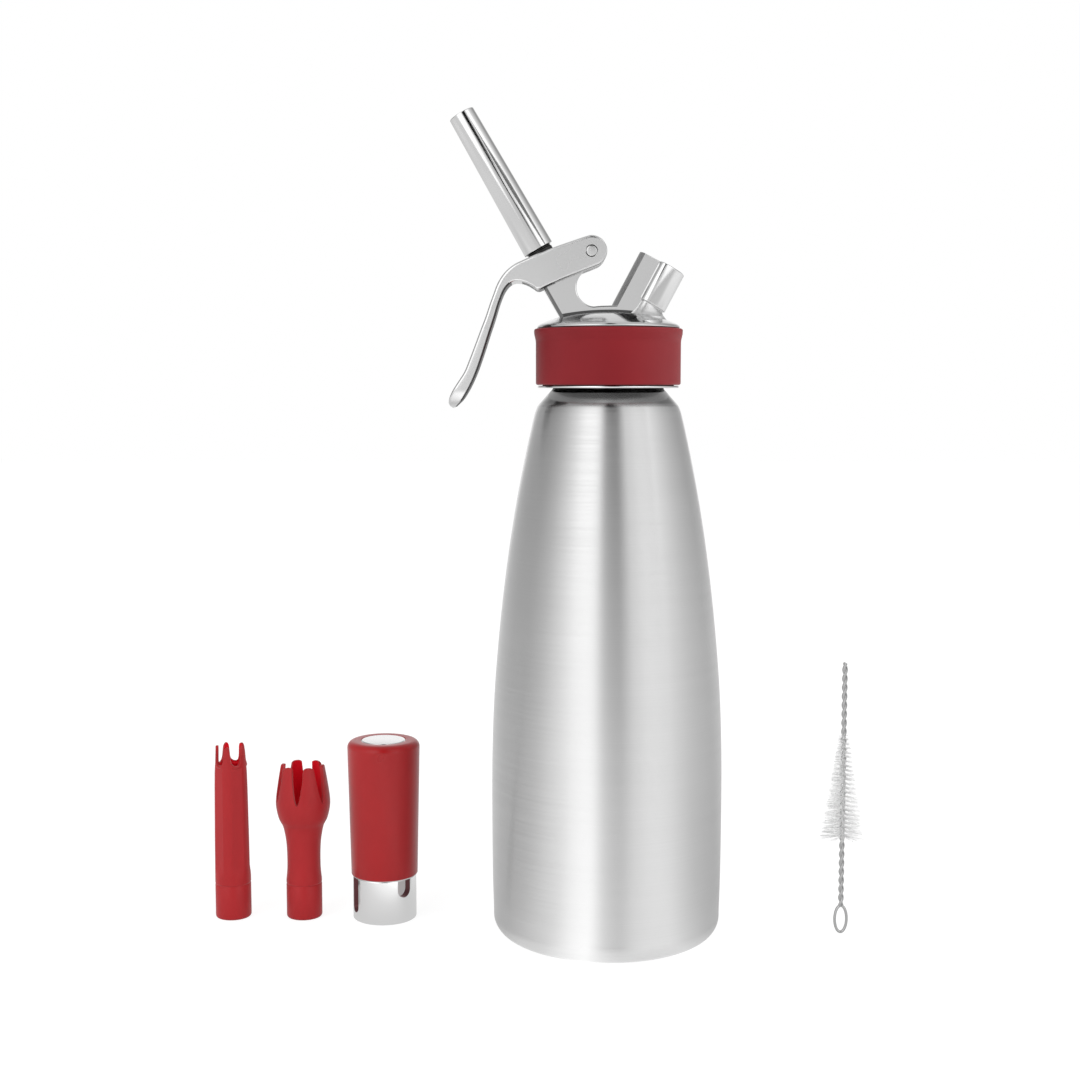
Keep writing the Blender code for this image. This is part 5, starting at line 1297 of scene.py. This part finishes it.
@dataclass
class DecoratorTip:
    """What both tips share: foot, ring line, socket for the insert and the way a crown is lofted.

    Attributes:
        node: The CAD node that it replaces.
        body: The body it rides on.
        height: Height of the teeth.
        radius: Radius of the foot.
        wall: Wall thickness.
        ring: Height of the ring line.
        teeth: Number of teeth.
        turn: Angle of the first tooth, in degrees.
        notch: Height of the notches' bottom.
    """

    node: str
    body: Body
    height: float
    teeth: int
    turn: float
    notch: float
    radius: float = 7.4 * MM
    wall: float = 1.2 * MM
    ring: float = 14.3 * MM

    def tooth_share(self, angle: np.ndarray) -> np.ndarray:
        """Return how far each angle is from its nearest tooth, as a share of half a pitch."""
        half = np.pi / self.teeth
        return np.abs((angle - math.radians(self.turn) + half) % (2 * half) - half) / half

    def top_edge(self, share: np.ndarray) -> np.ndarray:
        """Return the height of the top edge at each share."""
        raise NotImplementedError

    def radius_at(self, height: np.ndarray, share: np.ndarray) -> np.ndarray:
        """Return the outer radius at each height and share."""
        raise NotImplementedError

    def levels(self, top: np.ndarray, start: float, stretch: float, rows: int) -> np.ndarray:
        """Return rows of heights: even up to stretch, then spread up to the top edge."""
        lower = np.linspace(start, stretch, rows)[:, None] * np.ones_like(top)[None, :]
        share = np.linspace(0, 1, rows + 1)[1:, None]
        share = 1 - (1 - share) ** 1.6
        upper = stretch + (top[None, :] - stretch) * share
        return np.concatenate([lower, upper])

    def loft(self) -> Shape:
        """Return the tip: outer rows up to the crown, over its edge and down the inside."""
        angle = np.linspace(0, 2 * np.pi, 288, endpoint=False)
        share = self.tooth_share(angle)
        top = self.top_edge(share)
        foot = np.array([(-1.0, 0.0), (-0.4, 0.12), (-0.1, 0.5), (0.0, 1.0)]) * MM
        groove = np.array([(0.0, -0.4), (-0.08, -0.25), (-0.25, 0.0), (-0.25, 0.2), (-0.08, 0.45), (0.0, 0.6)]) * MM
        foot = np.concatenate([foot, groove + [0.0, self.ring]])
        foot_heights = foot[:, 1:2] * np.ones((1, len(angle)))
        foot_radii = self.radius + foot[:, 0:1] * np.ones((1, len(angle)))
        heights = self.levels(top, self.ring + 0.9 * MM, self.notch - 1.5 * MM, 44)
        radii = self.radius_at(heights, share[None, :])
        rim = np.clip((heights - top[None, :] + 0.35 * MM) / (0.35 * MM), 0, 1)
        outer = radii - 0.3 * MM * rim ** 2
        inner_heights = np.concatenate([heights[-1:] - 0.05 * MM, heights[::-3]])
        inner = self.radius_at(inner_heights, share[None, :]) - self.wall
        inner[0] += 0.25 * MM
        socket = np.array([(-2.1, 10.8), (-1.2, 10.8), (-1.2, 0.0)]) * MM
        socket_heights = socket[:, 1:2] * np.ones((1, len(angle)))
        socket_radii = self.radius + socket[:, 0:1] * np.ones((1, len(angle)))
        all_heights = np.concatenate([foot_heights, heights, inner_heights, socket_heights])
        all_radii = np.concatenate([foot_radii, outer, inner, socket_radii])
        points = np.stack([all_radii * np.cos(angle), all_radii * np.sin(angle), all_heights], axis=-1)
        return grid_shape(points, close_rows=True)

    def build(self) -> None:
        """Make the tip, with its inner wall in a brighter, deeper red: painted light that lifts the shade inside it.
        """
        at = middle(self.node)
        piece = raw_mesh(self.node + "_moulded", self.loft().placed(Matrix.Translation((at.x, at.y, 0.0))))
        dress(piece, TIP_RED, self.body, (self.node,), 50.0)
        # Painted light: the inner wall is a brighter red than the outside.
        piece.data.materials.append(Palette.get(TIP_INSIDE_PAINTED_LIGHT))
        normals, centres = face_arrays(piece.data)
        outward = centres[:, :2] - np.array([at.x, at.y])
        inner_wall = (normals[:, :2] * outward).sum(axis=1) < -0.2 * np.linalg.norm(outward, axis=1)
        piece.data.polygons.foreach_set("material_index", inner_wall.astype(int))


@dataclass
class StraightTip(DecoratorTip):
    """The slim tip with five narrow prongs and a flat under each notch."""

    def top_edge(self, share: np.ndarray) -> np.ndarray:
        """Return round prongs and U-shaped notches: a smooth curve of share and fall, read at each share."""
        fall = np.array([(0.0, 0.0), (0.11, 0.14), (0.21, 0.56), (0.28, 1.1), (0.33, 1.95), (0.36, 3.1),
                         (0.385, 4.3), (0.42, 5.4), (0.48, 6.4), (0.57, 7.15), (0.70, 7.65), (0.85, 7.93), (1.0, 8.0)])
        curve = smooth_curve(fall, 6)
        return self.height - np.interp(share, curve[:, 0], curve[:, 1]) * MM

    def radius_at(self, height: np.ndarray, share: np.ndarray) -> np.ndarray:
        """Return a taper to the mouth, drawn in to a chord under each notch."""
        table = np.array([(16.0, 7.40), (33.0, 7.26), (55.0, 6.97), (62.0, 6.80), (66.0, 6.50), (73.0, 6.20)]) * MM
        taper = np.interp(height, table[:, 0], table[:, 1])
        offset = (1 - share) * np.pi / self.teeth
        flat = taper * np.minimum(1.0, 0.935 / np.cos(offset))
        fade = np.clip((height - 18 * MM) / (4 * MM), 0, 1) * np.clip((self.notch - 0.6 * MM - height) / (0.5 * MM), 0, 1)
        return taper + (flat - taper) * fade


@dataclass
class TulipTip(DecoratorTip):
    """The bulbed tip with six petals and slits between them."""

    def top_edge(self, share: np.ndarray) -> np.ndarray:
        """Return petals with round corners, and slits with bowed sides.

        A slit's depth is that of the petal times 1 - x^1.7, where x goes from 0 in its middle to 1 at the
        petal.
        """
        slit = 1 - np.clip((1 - share) / 0.52, 0, 1) ** 1.7
        corner = 1.1 * MM * np.clip(share / 0.55, 0, 1) ** 3
        return self.height - corner * (1 - slit) - (self.height - self.notch) * slit

    def radius_at(self, height: np.ndarray, share: np.ndarray) -> np.ndarray:
        """Return the bulb's radius from a smooth curve through a few heights."""
        table = np.array([(16.0, 7.38), (18.5, 7.1), (21.4, 6.92), (26.0, 6.9), (30.4, 7.07), (34.0, 7.45),
                          (38.8, 8.45), (42.0, 10.05), (46.6, 11.1), (50.5, 11.17), (56.9, 10.3), (62.8, 9.3),
                          (65.0, 8.9)]) * MM
        curve = smooth_curve(table, 6)
        return np.interp(height, curve[:, 1 - 1], curve[:, 1]) + 0 * share


# Brush


@dataclass
class CleaningBrush:
    """Twisted wire stem on its loop, with a cone of nylon bristles."""

    height: float = 111.2 * MM
    wire: float = 0.575 * MM
    lay: float = 7.2 * MM
    loop_height: float = 11.5 * MM
    loop_radius: float = 2.4 * MM
    bottom: float = 40.0 * MM
    top: float = 82.0 * MM
    short: float = 2.2 * MM
    long: float = 9.3 * MM
    strands: int = 1900

    def place(self) -> Vector:
        """Return where the brush stands, from the frame."""
        at = middle("brush_stem")
        return Vector((at.x, at.y, 0.0))

    def twisted(self) -> Shape:
        """Return the two wires wound round each other: a helix and its half-turn copy."""
        height = np.linspace(self.loop_height, self.height, 420)
        angle = 2 * np.pi * (height - self.loop_height) / self.lay
        shapes = []
        for start in (0.0, np.pi):
            path = np.stack([self.wire * np.cos(angle + start), self.wire * np.sin(angle + start), height], axis=1)
            shapes.append(tube(path, self.wire, 10))
        return shapes[0].joined(shapes[1])

    def loop(self) -> Shape:
        """Return the loop: an ellipse in the plane of X and Z whose foot lies on the table."""
        angle = np.linspace(0, 2 * np.pi, 72, endpoint=False)
        half = (self.loop_height + self.wire) / 2
        path = np.stack([self.loop_radius * np.cos(angle), 0 * angle,
                         half + (half - self.wire) * np.sin(angle)], axis=1)
        return tube(path, self.wire, 12, closed=True)

    def bristles(self) -> Shape:
        """Return the strands: three-sided spikes on a spiral, longer toward the bottom of the cone."""
        rng = np.random.default_rng(7)
        count = self.strands
        share = (np.arange(count) + rng.uniform(0, 1, count)) / count
        angle = 2 * np.pi * (self.top - self.bottom) / self.lay * share * 2 + rng.normal(0, 0.45, count)
        angle += np.where(np.arange(count) % 2, np.pi, 0.0)
        base = self.top - (self.top - self.bottom) * share
        reach = (self.short + (self.long - self.short) * share) * rng.uniform(0.86, 1.0, count)
        droop = -reach * rng.uniform(0.02, 0.16, count)
        outward = np.stack([np.cos(angle), np.sin(angle), 0 * angle], axis=1)
        side = np.stack([-np.sin(angle), np.cos(angle), 0 * angle], axis=1)
        up = np.array([[0.0, 0.0, 1.0]])
        start = outward * 0.4 * MM + base[:, None] * up
        end = outward * reach[:, None] + (base + droop)[:, None] * up
        turn = np.radians([90.0, 210.0, 330.0])
        ring = 0.07 * MM * (np.cos(turn)[None, :, None] * side[:, None] + np.sin(turn)[None, :, None] * up[:, None])
        points = np.stack([start[:, None] + ring, end[:, None] + ring * 0.7], axis=1)
        number = np.arange(count * 6).reshape(count, 2, 3)
        faces: list[tuple[int, ...]] = []
        for corner in range(3):
            after = (corner + 1) % 3
            quads = np.stack([number[:, 0, corner], number[:, 0, after], number[:, 1, after],
                              number[:, 1, corner]], axis=1)
            faces += [tuple(face) for face in quads.tolist()]
        faces += [tuple(face) for face in number[:, 0, ::-1].tolist()]
        faces += [tuple(face) for face in number[:, 1].tolist()]
        return Shape(points.reshape(-1, 3), faces)

    def build(self) -> None:
        """Make the stem with its loop, and the bristles."""
        place = Matrix.Translation(self.place())
        stem = self.twisted().joined(self.loop()).placed(place)
        make("brush_wire", stem, WIRE, Body.BRUSH, ("brush_stem",))
        make("brush_strands", self.bristles().placed(place), NYLON, Body.BRUSH,
             ("brush_bristles",))


# Inner pieces


@dataclass
class InnerPieces:
    """The CAD nodes that keep their own shape and get a finish."""

    finishes: dict[str, Finish] = field(default_factory=lambda: {
        "head_gasket": RUBBER, "valve_seal": RUBBER, "valve_ring": RUBBER, "nozzle_seal": RUBBER,
        "port_seal": RUBBER, "check_valve": RUBBER, "valve_guide": GUIDE,
        "piercing_pin": PLAIN, "inlet_screw": PLAIN, "straight_insert": PLAIN, "tulip_insert": PLAIN,
    })

    def dress(self) -> None:
        """Assign each node's finish to its material slots."""
        for node, finish in self.finishes.items():
            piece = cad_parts[node]
            material = Palette.get(finish)
            if not piece.material_slots:
                piece.data.materials.append(material)
            for slot in piece.material_slots:
                slot.material = material
            LOG.info("%s keeps its CAD shape", node)


# Studio


class LightNodes:
    """Short calls for the nodes that work out a brightness."""

    def __init__(self, tree: bpy.types.NodeTree) -> None:
        """Empty a node tree and keep it."""
        self.nodes, self.links = tree.nodes, tree.links
        self.nodes.clear()

    def calculate(self, kind: str, first: object, second: object = None) -> bpy.types.NodeSocket:
        """Return a Math node's value of one or two sockets or numbers."""
        node = self.nodes.new("ShaderNodeMath")
        node.operation = kind
        for number, value in enumerate((first, second)):
            if isinstance(value, (int, float)):
                node.inputs[number].default_value = value
            elif value is not None:
                self.links.new(value, node.inputs[number])
        return node.outputs[0]

    def step(self, value: bpy.types.NodeSocket, start: float, end: float) -> bpy.types.NodeSocket:
        """Return a smooth step from 0 at start to 1 at end."""
        node = self.nodes.new("ShaderNodeMapRange")
        node.interpolation_type = "SMOOTHSTEP"
        node.inputs["From Min"].default_value = start
        node.inputs["From Max"].default_value = end
        self.links.new(value, node.inputs["Value"])
        return node.outputs["Result"]

    def inside(self, value: bpy.types.NodeSocket, start: float, end: float, edge: float) -> bpy.types.NodeSocket:
        """Return 1 between start and end, falling to 0 within an edge outside them."""
        rise = self.step(value, start - edge, start)
        return self.calculate("SUBTRACT", rise, self.step(value, end, end + edge))

    def between(self, share: bpy.types.NodeSocket, first: object, second: object) -> bpy.types.NodeSocket:
        """Return first + share (second - first)."""
        return self.calculate("ADD", first, self.calculate(
            "MULTIPLY", share, self.calculate("SUBTRACT", second, first)))

    def turn(self, direction: bpy.types.NodeSocket) -> tuple[bpy.types.NodeSocket, ...]:
        """Return a direction's angle from the camera's side, in turns with 0.5 in front, and its parts."""
        split = self.nodes.new("ShaderNodeSeparateXYZ")
        self.links.new(direction, split.inputs[0])
        side, ahead, up = split.outputs
        azimuth = self.calculate("ARCTAN2", side, self.calculate("MULTIPLY", ahead, -1.0))
        return self.calculate("ADD", self.calculate("DIVIDE", azimuth, 2 * math.pi), 0.5), ahead, up

    def bands(self, turn: bpy.types.NodeSocket, table: tuple[Point, ...]) -> bpy.types.NodeSocket:
        """Return the brightness that a table of degrees and levels gives at each turn."""
        ramp = self.nodes.new("ShaderNodeValToRGB")
        brightest = max(level for _, level in table)
        stops = ramp.color_ramp.elements
        while len(stops) < len(table):
            stops.new(0.5)
        for stop, (angle, level) in zip(stops, table):
            stop.position = angle / 360.0 + 0.5
            stop.color = (level / brightest,) * 3 + (1.0,)
        self.links.new(turn, ramp.inputs[0])
        return self.calculate("MULTIPLY", ramp.outputs[0], brightest)


@dataclass
class Studio:
    """Camera, floor, soft light and the room that polished steel reflects.

    Each table gives a brightness by the angle from the camera's side, in degrees to the right.

    Attributes:
        camera_place: The camera's place.
        tilt: Its angle from straight down, in degrees.
        lens: Focal length on a 36 mm sensor.
        overhead: Brightness of the room overhead.
        far_bands: Brightness of the floor far from the flask.
        floor_bands: Brightness of the floor near the flask.
        low_bands: Brightness of the room near the horizon.
        high_bands: Brightness of the room higher up.
        gap: The dark gap beside the camera, as a share of high_bands, higher up still.
    """

    camera_place: tuple[float, float, float] = (-27.05 * MM, -640.0 * MM, 222.0 * MM)
    tilt: float = 84.48
    lens: float = 53.47
    overhead: float = 0.80
    far_bands: tuple[Point, ...] = (
        (-180.0, 0.80), (14.0, 0.80), (22.0, 0.60), (64.0, 0.60), (78.0, 0.94), (125.0, 0.94), (150.0, 0.80),
        (180.0, 0.80),
    )
    floor_bands: tuple[Point, ...] = (
        (-180.0, 0.90), (-150.0, 0.78), (-120.0, 0.70), (-95.0, 0.68), (-75.0, 0.80), (-56.0, 1.02),
        (-40.0, 1.08), (-26.0, 1.36), (-14.0, 1.58), (-4.0, 1.30), (4.0, 1.14), (14.0, 1.06), (26.0, 1.04),
        (44.0, 1.08), (60.0, 0.93), (80.0, 0.75), (100.0, 0.68), (125.0, 0.62), (150.0, 0.72), (180.0, 0.90),
    )
    low_bands: tuple[Point, ...] = (
        (-180.0, 0.80), (-150.0, 0.60), (-120.0, 0.42), (-95.0, 0.44), (-75.0, 0.78), (-56.0, 1.40),
        (-40.0, 2.00), (-26.0, 2.04), (-17.0, 1.80), (-11.0, 1.00), (-5.0, 0.90), (10.0, 0.90), (22.0, 1.12),
        (38.0, 1.76), (54.0, 1.76), (70.0, 1.26), (86.0, 0.92), (105.0, 0.66), (125.0, 0.42), (150.0, 0.55),
        (180.0, 0.80),
    )
    high_bands: tuple[Point, ...] = (
        (-180.0, 1.0), (-162.0, 0.95), (-145.0, 0.44), (-110.0, 0.42), (-92.0, 0.46), (-72.0, 0.78),
        (-54.0, 1.40), (-38.0, 2.25), (-22.0, 2.30), (-12.0, 1.60), (-4.0, 0.80), (12.0, 0.80), (20.0, 1.10),
        (36.0, 2.20), (54.0, 2.30), (70.0, 1.55), (88.0, 1.05), (105.0, 0.76), (130.0, 0.46), (150.0, 0.50),
        (163.0, 0.95), (180.0, 1.0),
    )
    gap: tuple[Point, ...] = ((-15.0, 1.0), (-9.0, 0.30), (-4.0, 0.0), (16.0, 0.0), (25.0, 1.0))

    def camera(self) -> None:
        """Place the camera where the photograph was taken from."""
        data = bpy.data.cameras.new("camera")
        data.lens = self.lens
        data.sensor_width = 36.0
        data.clip_start = 0.01
        camera = bpy.data.objects.new("camera", data)
        camera.location = self.camera_place
        camera.rotation_euler = (math.radians(self.tilt), 0.0, 0.0)
        bpy.context.scene.collection.objects.link(camera)
        bpy.context.scene.camera = camera

    def room(self) -> None:
        """Build the world: white to the camera, soft panels, dark gaps and one dark card to steel."""
        world = bpy.data.worlds.new("studio_room")
        bpy.context.scene.world = world
        world.use_nodes = True
        light = LightNodes(world.node_tree)
        nodes, links = light.nodes, light.links
        turn, ahead, up = light.turn(nodes.new("ShaderNodeTexCoord").outputs["Generated"])
        degrees = light.calculate("MULTIPLY", light.calculate("SUBTRACT", turn, 0.5), 360.0)
        panels = light.between(light.step(up, 0.60, 0.85), light.bands(turn, self.high_bands), self.overhead)
        slanted = light.calculate("ADD", up, light.calculate("MULTIPLY", degrees, 0.012))
        panels = light.calculate("MULTIPLY", panels, light.between(
            light.step(slanted, 0.27, 0.32), 1.0, light.bands(turn, self.gap)))
        level = light.between(light.step(up, 0.10, 0.17), light.bands(turn, self.low_bands), panels)
        card = light.calculate("MULTIPLY", light.inside(degrees, 30.0, 62.0, 3.0), light.inside(up, 0.40, 0.57, 0.03))
        level = light.between(card, level, 0.22)
        slit = light.calculate("MULTIPLY", light.inside(degrees, 15.0, 20.0, 2.0), light.inside(up, 0.27, 0.36, 0.02))
        level = light.between(slit, level, 1.6)
        overhead = nodes.new("ShaderNodeBackground")
        links.new(level, overhead.inputs["Strength"])
        white = nodes.new("ShaderNodeBackground")
        white.inputs["Color"].default_value = (1.0, 1.0, 1.0, 1.0)
        path = nodes.new("ShaderNodeLightPath")
        mirrored = light.calculate("ADD", path.outputs["Is Glossy Ray"], path.outputs["Is Transmission Ray"])
        behind = light.calculate("MULTIPLY", mirrored, light.step(ahead, 0.90, 0.98))
        share = light.calculate("MINIMUM", light.calculate("ADD", path.outputs["Is Camera Ray"], behind), 1.0)
        backdrop = nodes.new("ShaderNodeMixShader")
        links.new(share, backdrop.inputs[0])
        links.new(overhead.outputs[0], backdrop.inputs[1])
        links.new(white.outputs[0], backdrop.inputs[2])
        output = nodes.new("ShaderNodeOutputWorld")
        links.new(backdrop.outputs[0], output.inputs[0])

    def floor(self) -> None:
        """Lay a wide pale floor that reads as white and keeps the object's shadow.

        The camera sees its shadowed white mixed with an even glow; steel sees bands round the flask that
        even out further off.
        """
        plane = raw_mesh("floor", Shape(np.array([(-4.0, -4.0, 0.0), (4.0, -4.0, 0.0), (4.0, 4.0, 0.0),
                                                  (-4.0, 4.0, 0.0)]) - [0, 0, 0.2 * MM], [(0, 1, 2, 3)]))
        material = bpy.data.materials.new("pale_floor")
        material.use_nodes = True
        light = LightNodes(material.node_tree)
        nodes, links = light.nodes, light.links
        place = nodes.new("ShaderNodeTexCoord").outputs["Object"]
        length = nodes.new("ShaderNodeVectorMath")
        length.operation = "LENGTH"
        links.new(place, length.inputs[0])
        turn, _, _ = light.turn(place)
        mirrored = light.between(light.step(length.outputs["Value"], 0.45, 0.70),
                                 light.bands(turn, self.floor_bands), light.bands(turn, self.far_bands))
        diffuse = nodes.new("ShaderNodeBsdfDiffuse")
        diffuse.inputs["Color"].default_value = (0.92, 0.92, 0.92, 1.0)
        path = nodes.new("ShaderNodeLightPath")
        output = nodes.new("ShaderNodeOutputMaterial")
        surface = diffuse.outputs[0]
        for ray, share, level in (("Is Camera Ray", 0.75, 1.15), ("Is Glossy Ray", 0.90, mirrored)):
            glow = nodes.new("ShaderNodeEmission")
            if isinstance(level, float):
                glow.inputs["Strength"].default_value = level
            else:
                links.new(level, glow.inputs["Strength"])
            mix = nodes.new("ShaderNodeMixShader")
            links.new(light.calculate("MULTIPLY", path.outputs[ray], share), mix.inputs[0])
            links.new(surface, mix.inputs[1])
            links.new(glow.outputs[0], mix.inputs[2])
            surface = mix.outputs[0]
        links.new(surface, output.inputs[0])
        plane.data.materials.append(material)

    def lamp(self, name: str, place: tuple[float, float, float], size: float, power: float) -> None:
        """Hang one soft square lamp that looks at the middle of the object.

        Args:
            name: The lamp's name.
            place: Where it hangs.
            size: Length of its side.
            power: Its power in watts.
        """
        data = bpy.data.lights.new(name, "AREA")
        data.size = size
        data.energy = power
        lamp = bpy.data.objects.new(name, data)
        lamp.location = place
        lamp.rotation_euler = (Vector(place) - Vector((0.0, 0.0, 0.15))).to_track_quat("Z", "Y").to_euler()
        lamp.visible_glossy = False
        bpy.context.scene.collection.objects.link(lamp)

    def build(self) -> None:
        """Set the whole studio up."""
        self.camera()
        self.room()
        self.floor()
        self.lamp("key_lamp", (-0.8, -1.1, 1.2), 1.0, 7.0)
        self.lamp("fill_lamp", (1.0, -0.8, 0.8), 0.9, 6.0)
        self.lamp("left_lamp", (-1.3, 0.1, 0.4), 0.8, 5.0)
        self.lamp("right_lamp", (1.3, 0.1, 0.4), 0.8, 7.0)
        bpy.context.scene.view_settings.view_transform = "Standard"


def main() -> None:
    """Build the studio and every piece."""
    logging.basicConfig(level=logging.INFO, format="%(name)s %(message)s")
    Studio().build()
    Flask().build()
    HeadCasting().build()
    GripBand().build()
    Lever().build()
    Valve().build()
    ChargerHolder().build()
    StraightTip("straight_tip", Body.STRAIGHT, 73.0 * MM, 5, -95.6, 65.0 * MM).build()
    TulipTip("tulip_tip", Body.TULIP, 64.7 * MM, 6, -125.5, 49.5 * MM).build()
    CleaningBrush().build()
    InnerPieces().dress()


if __name__ == "__main__":
    main()
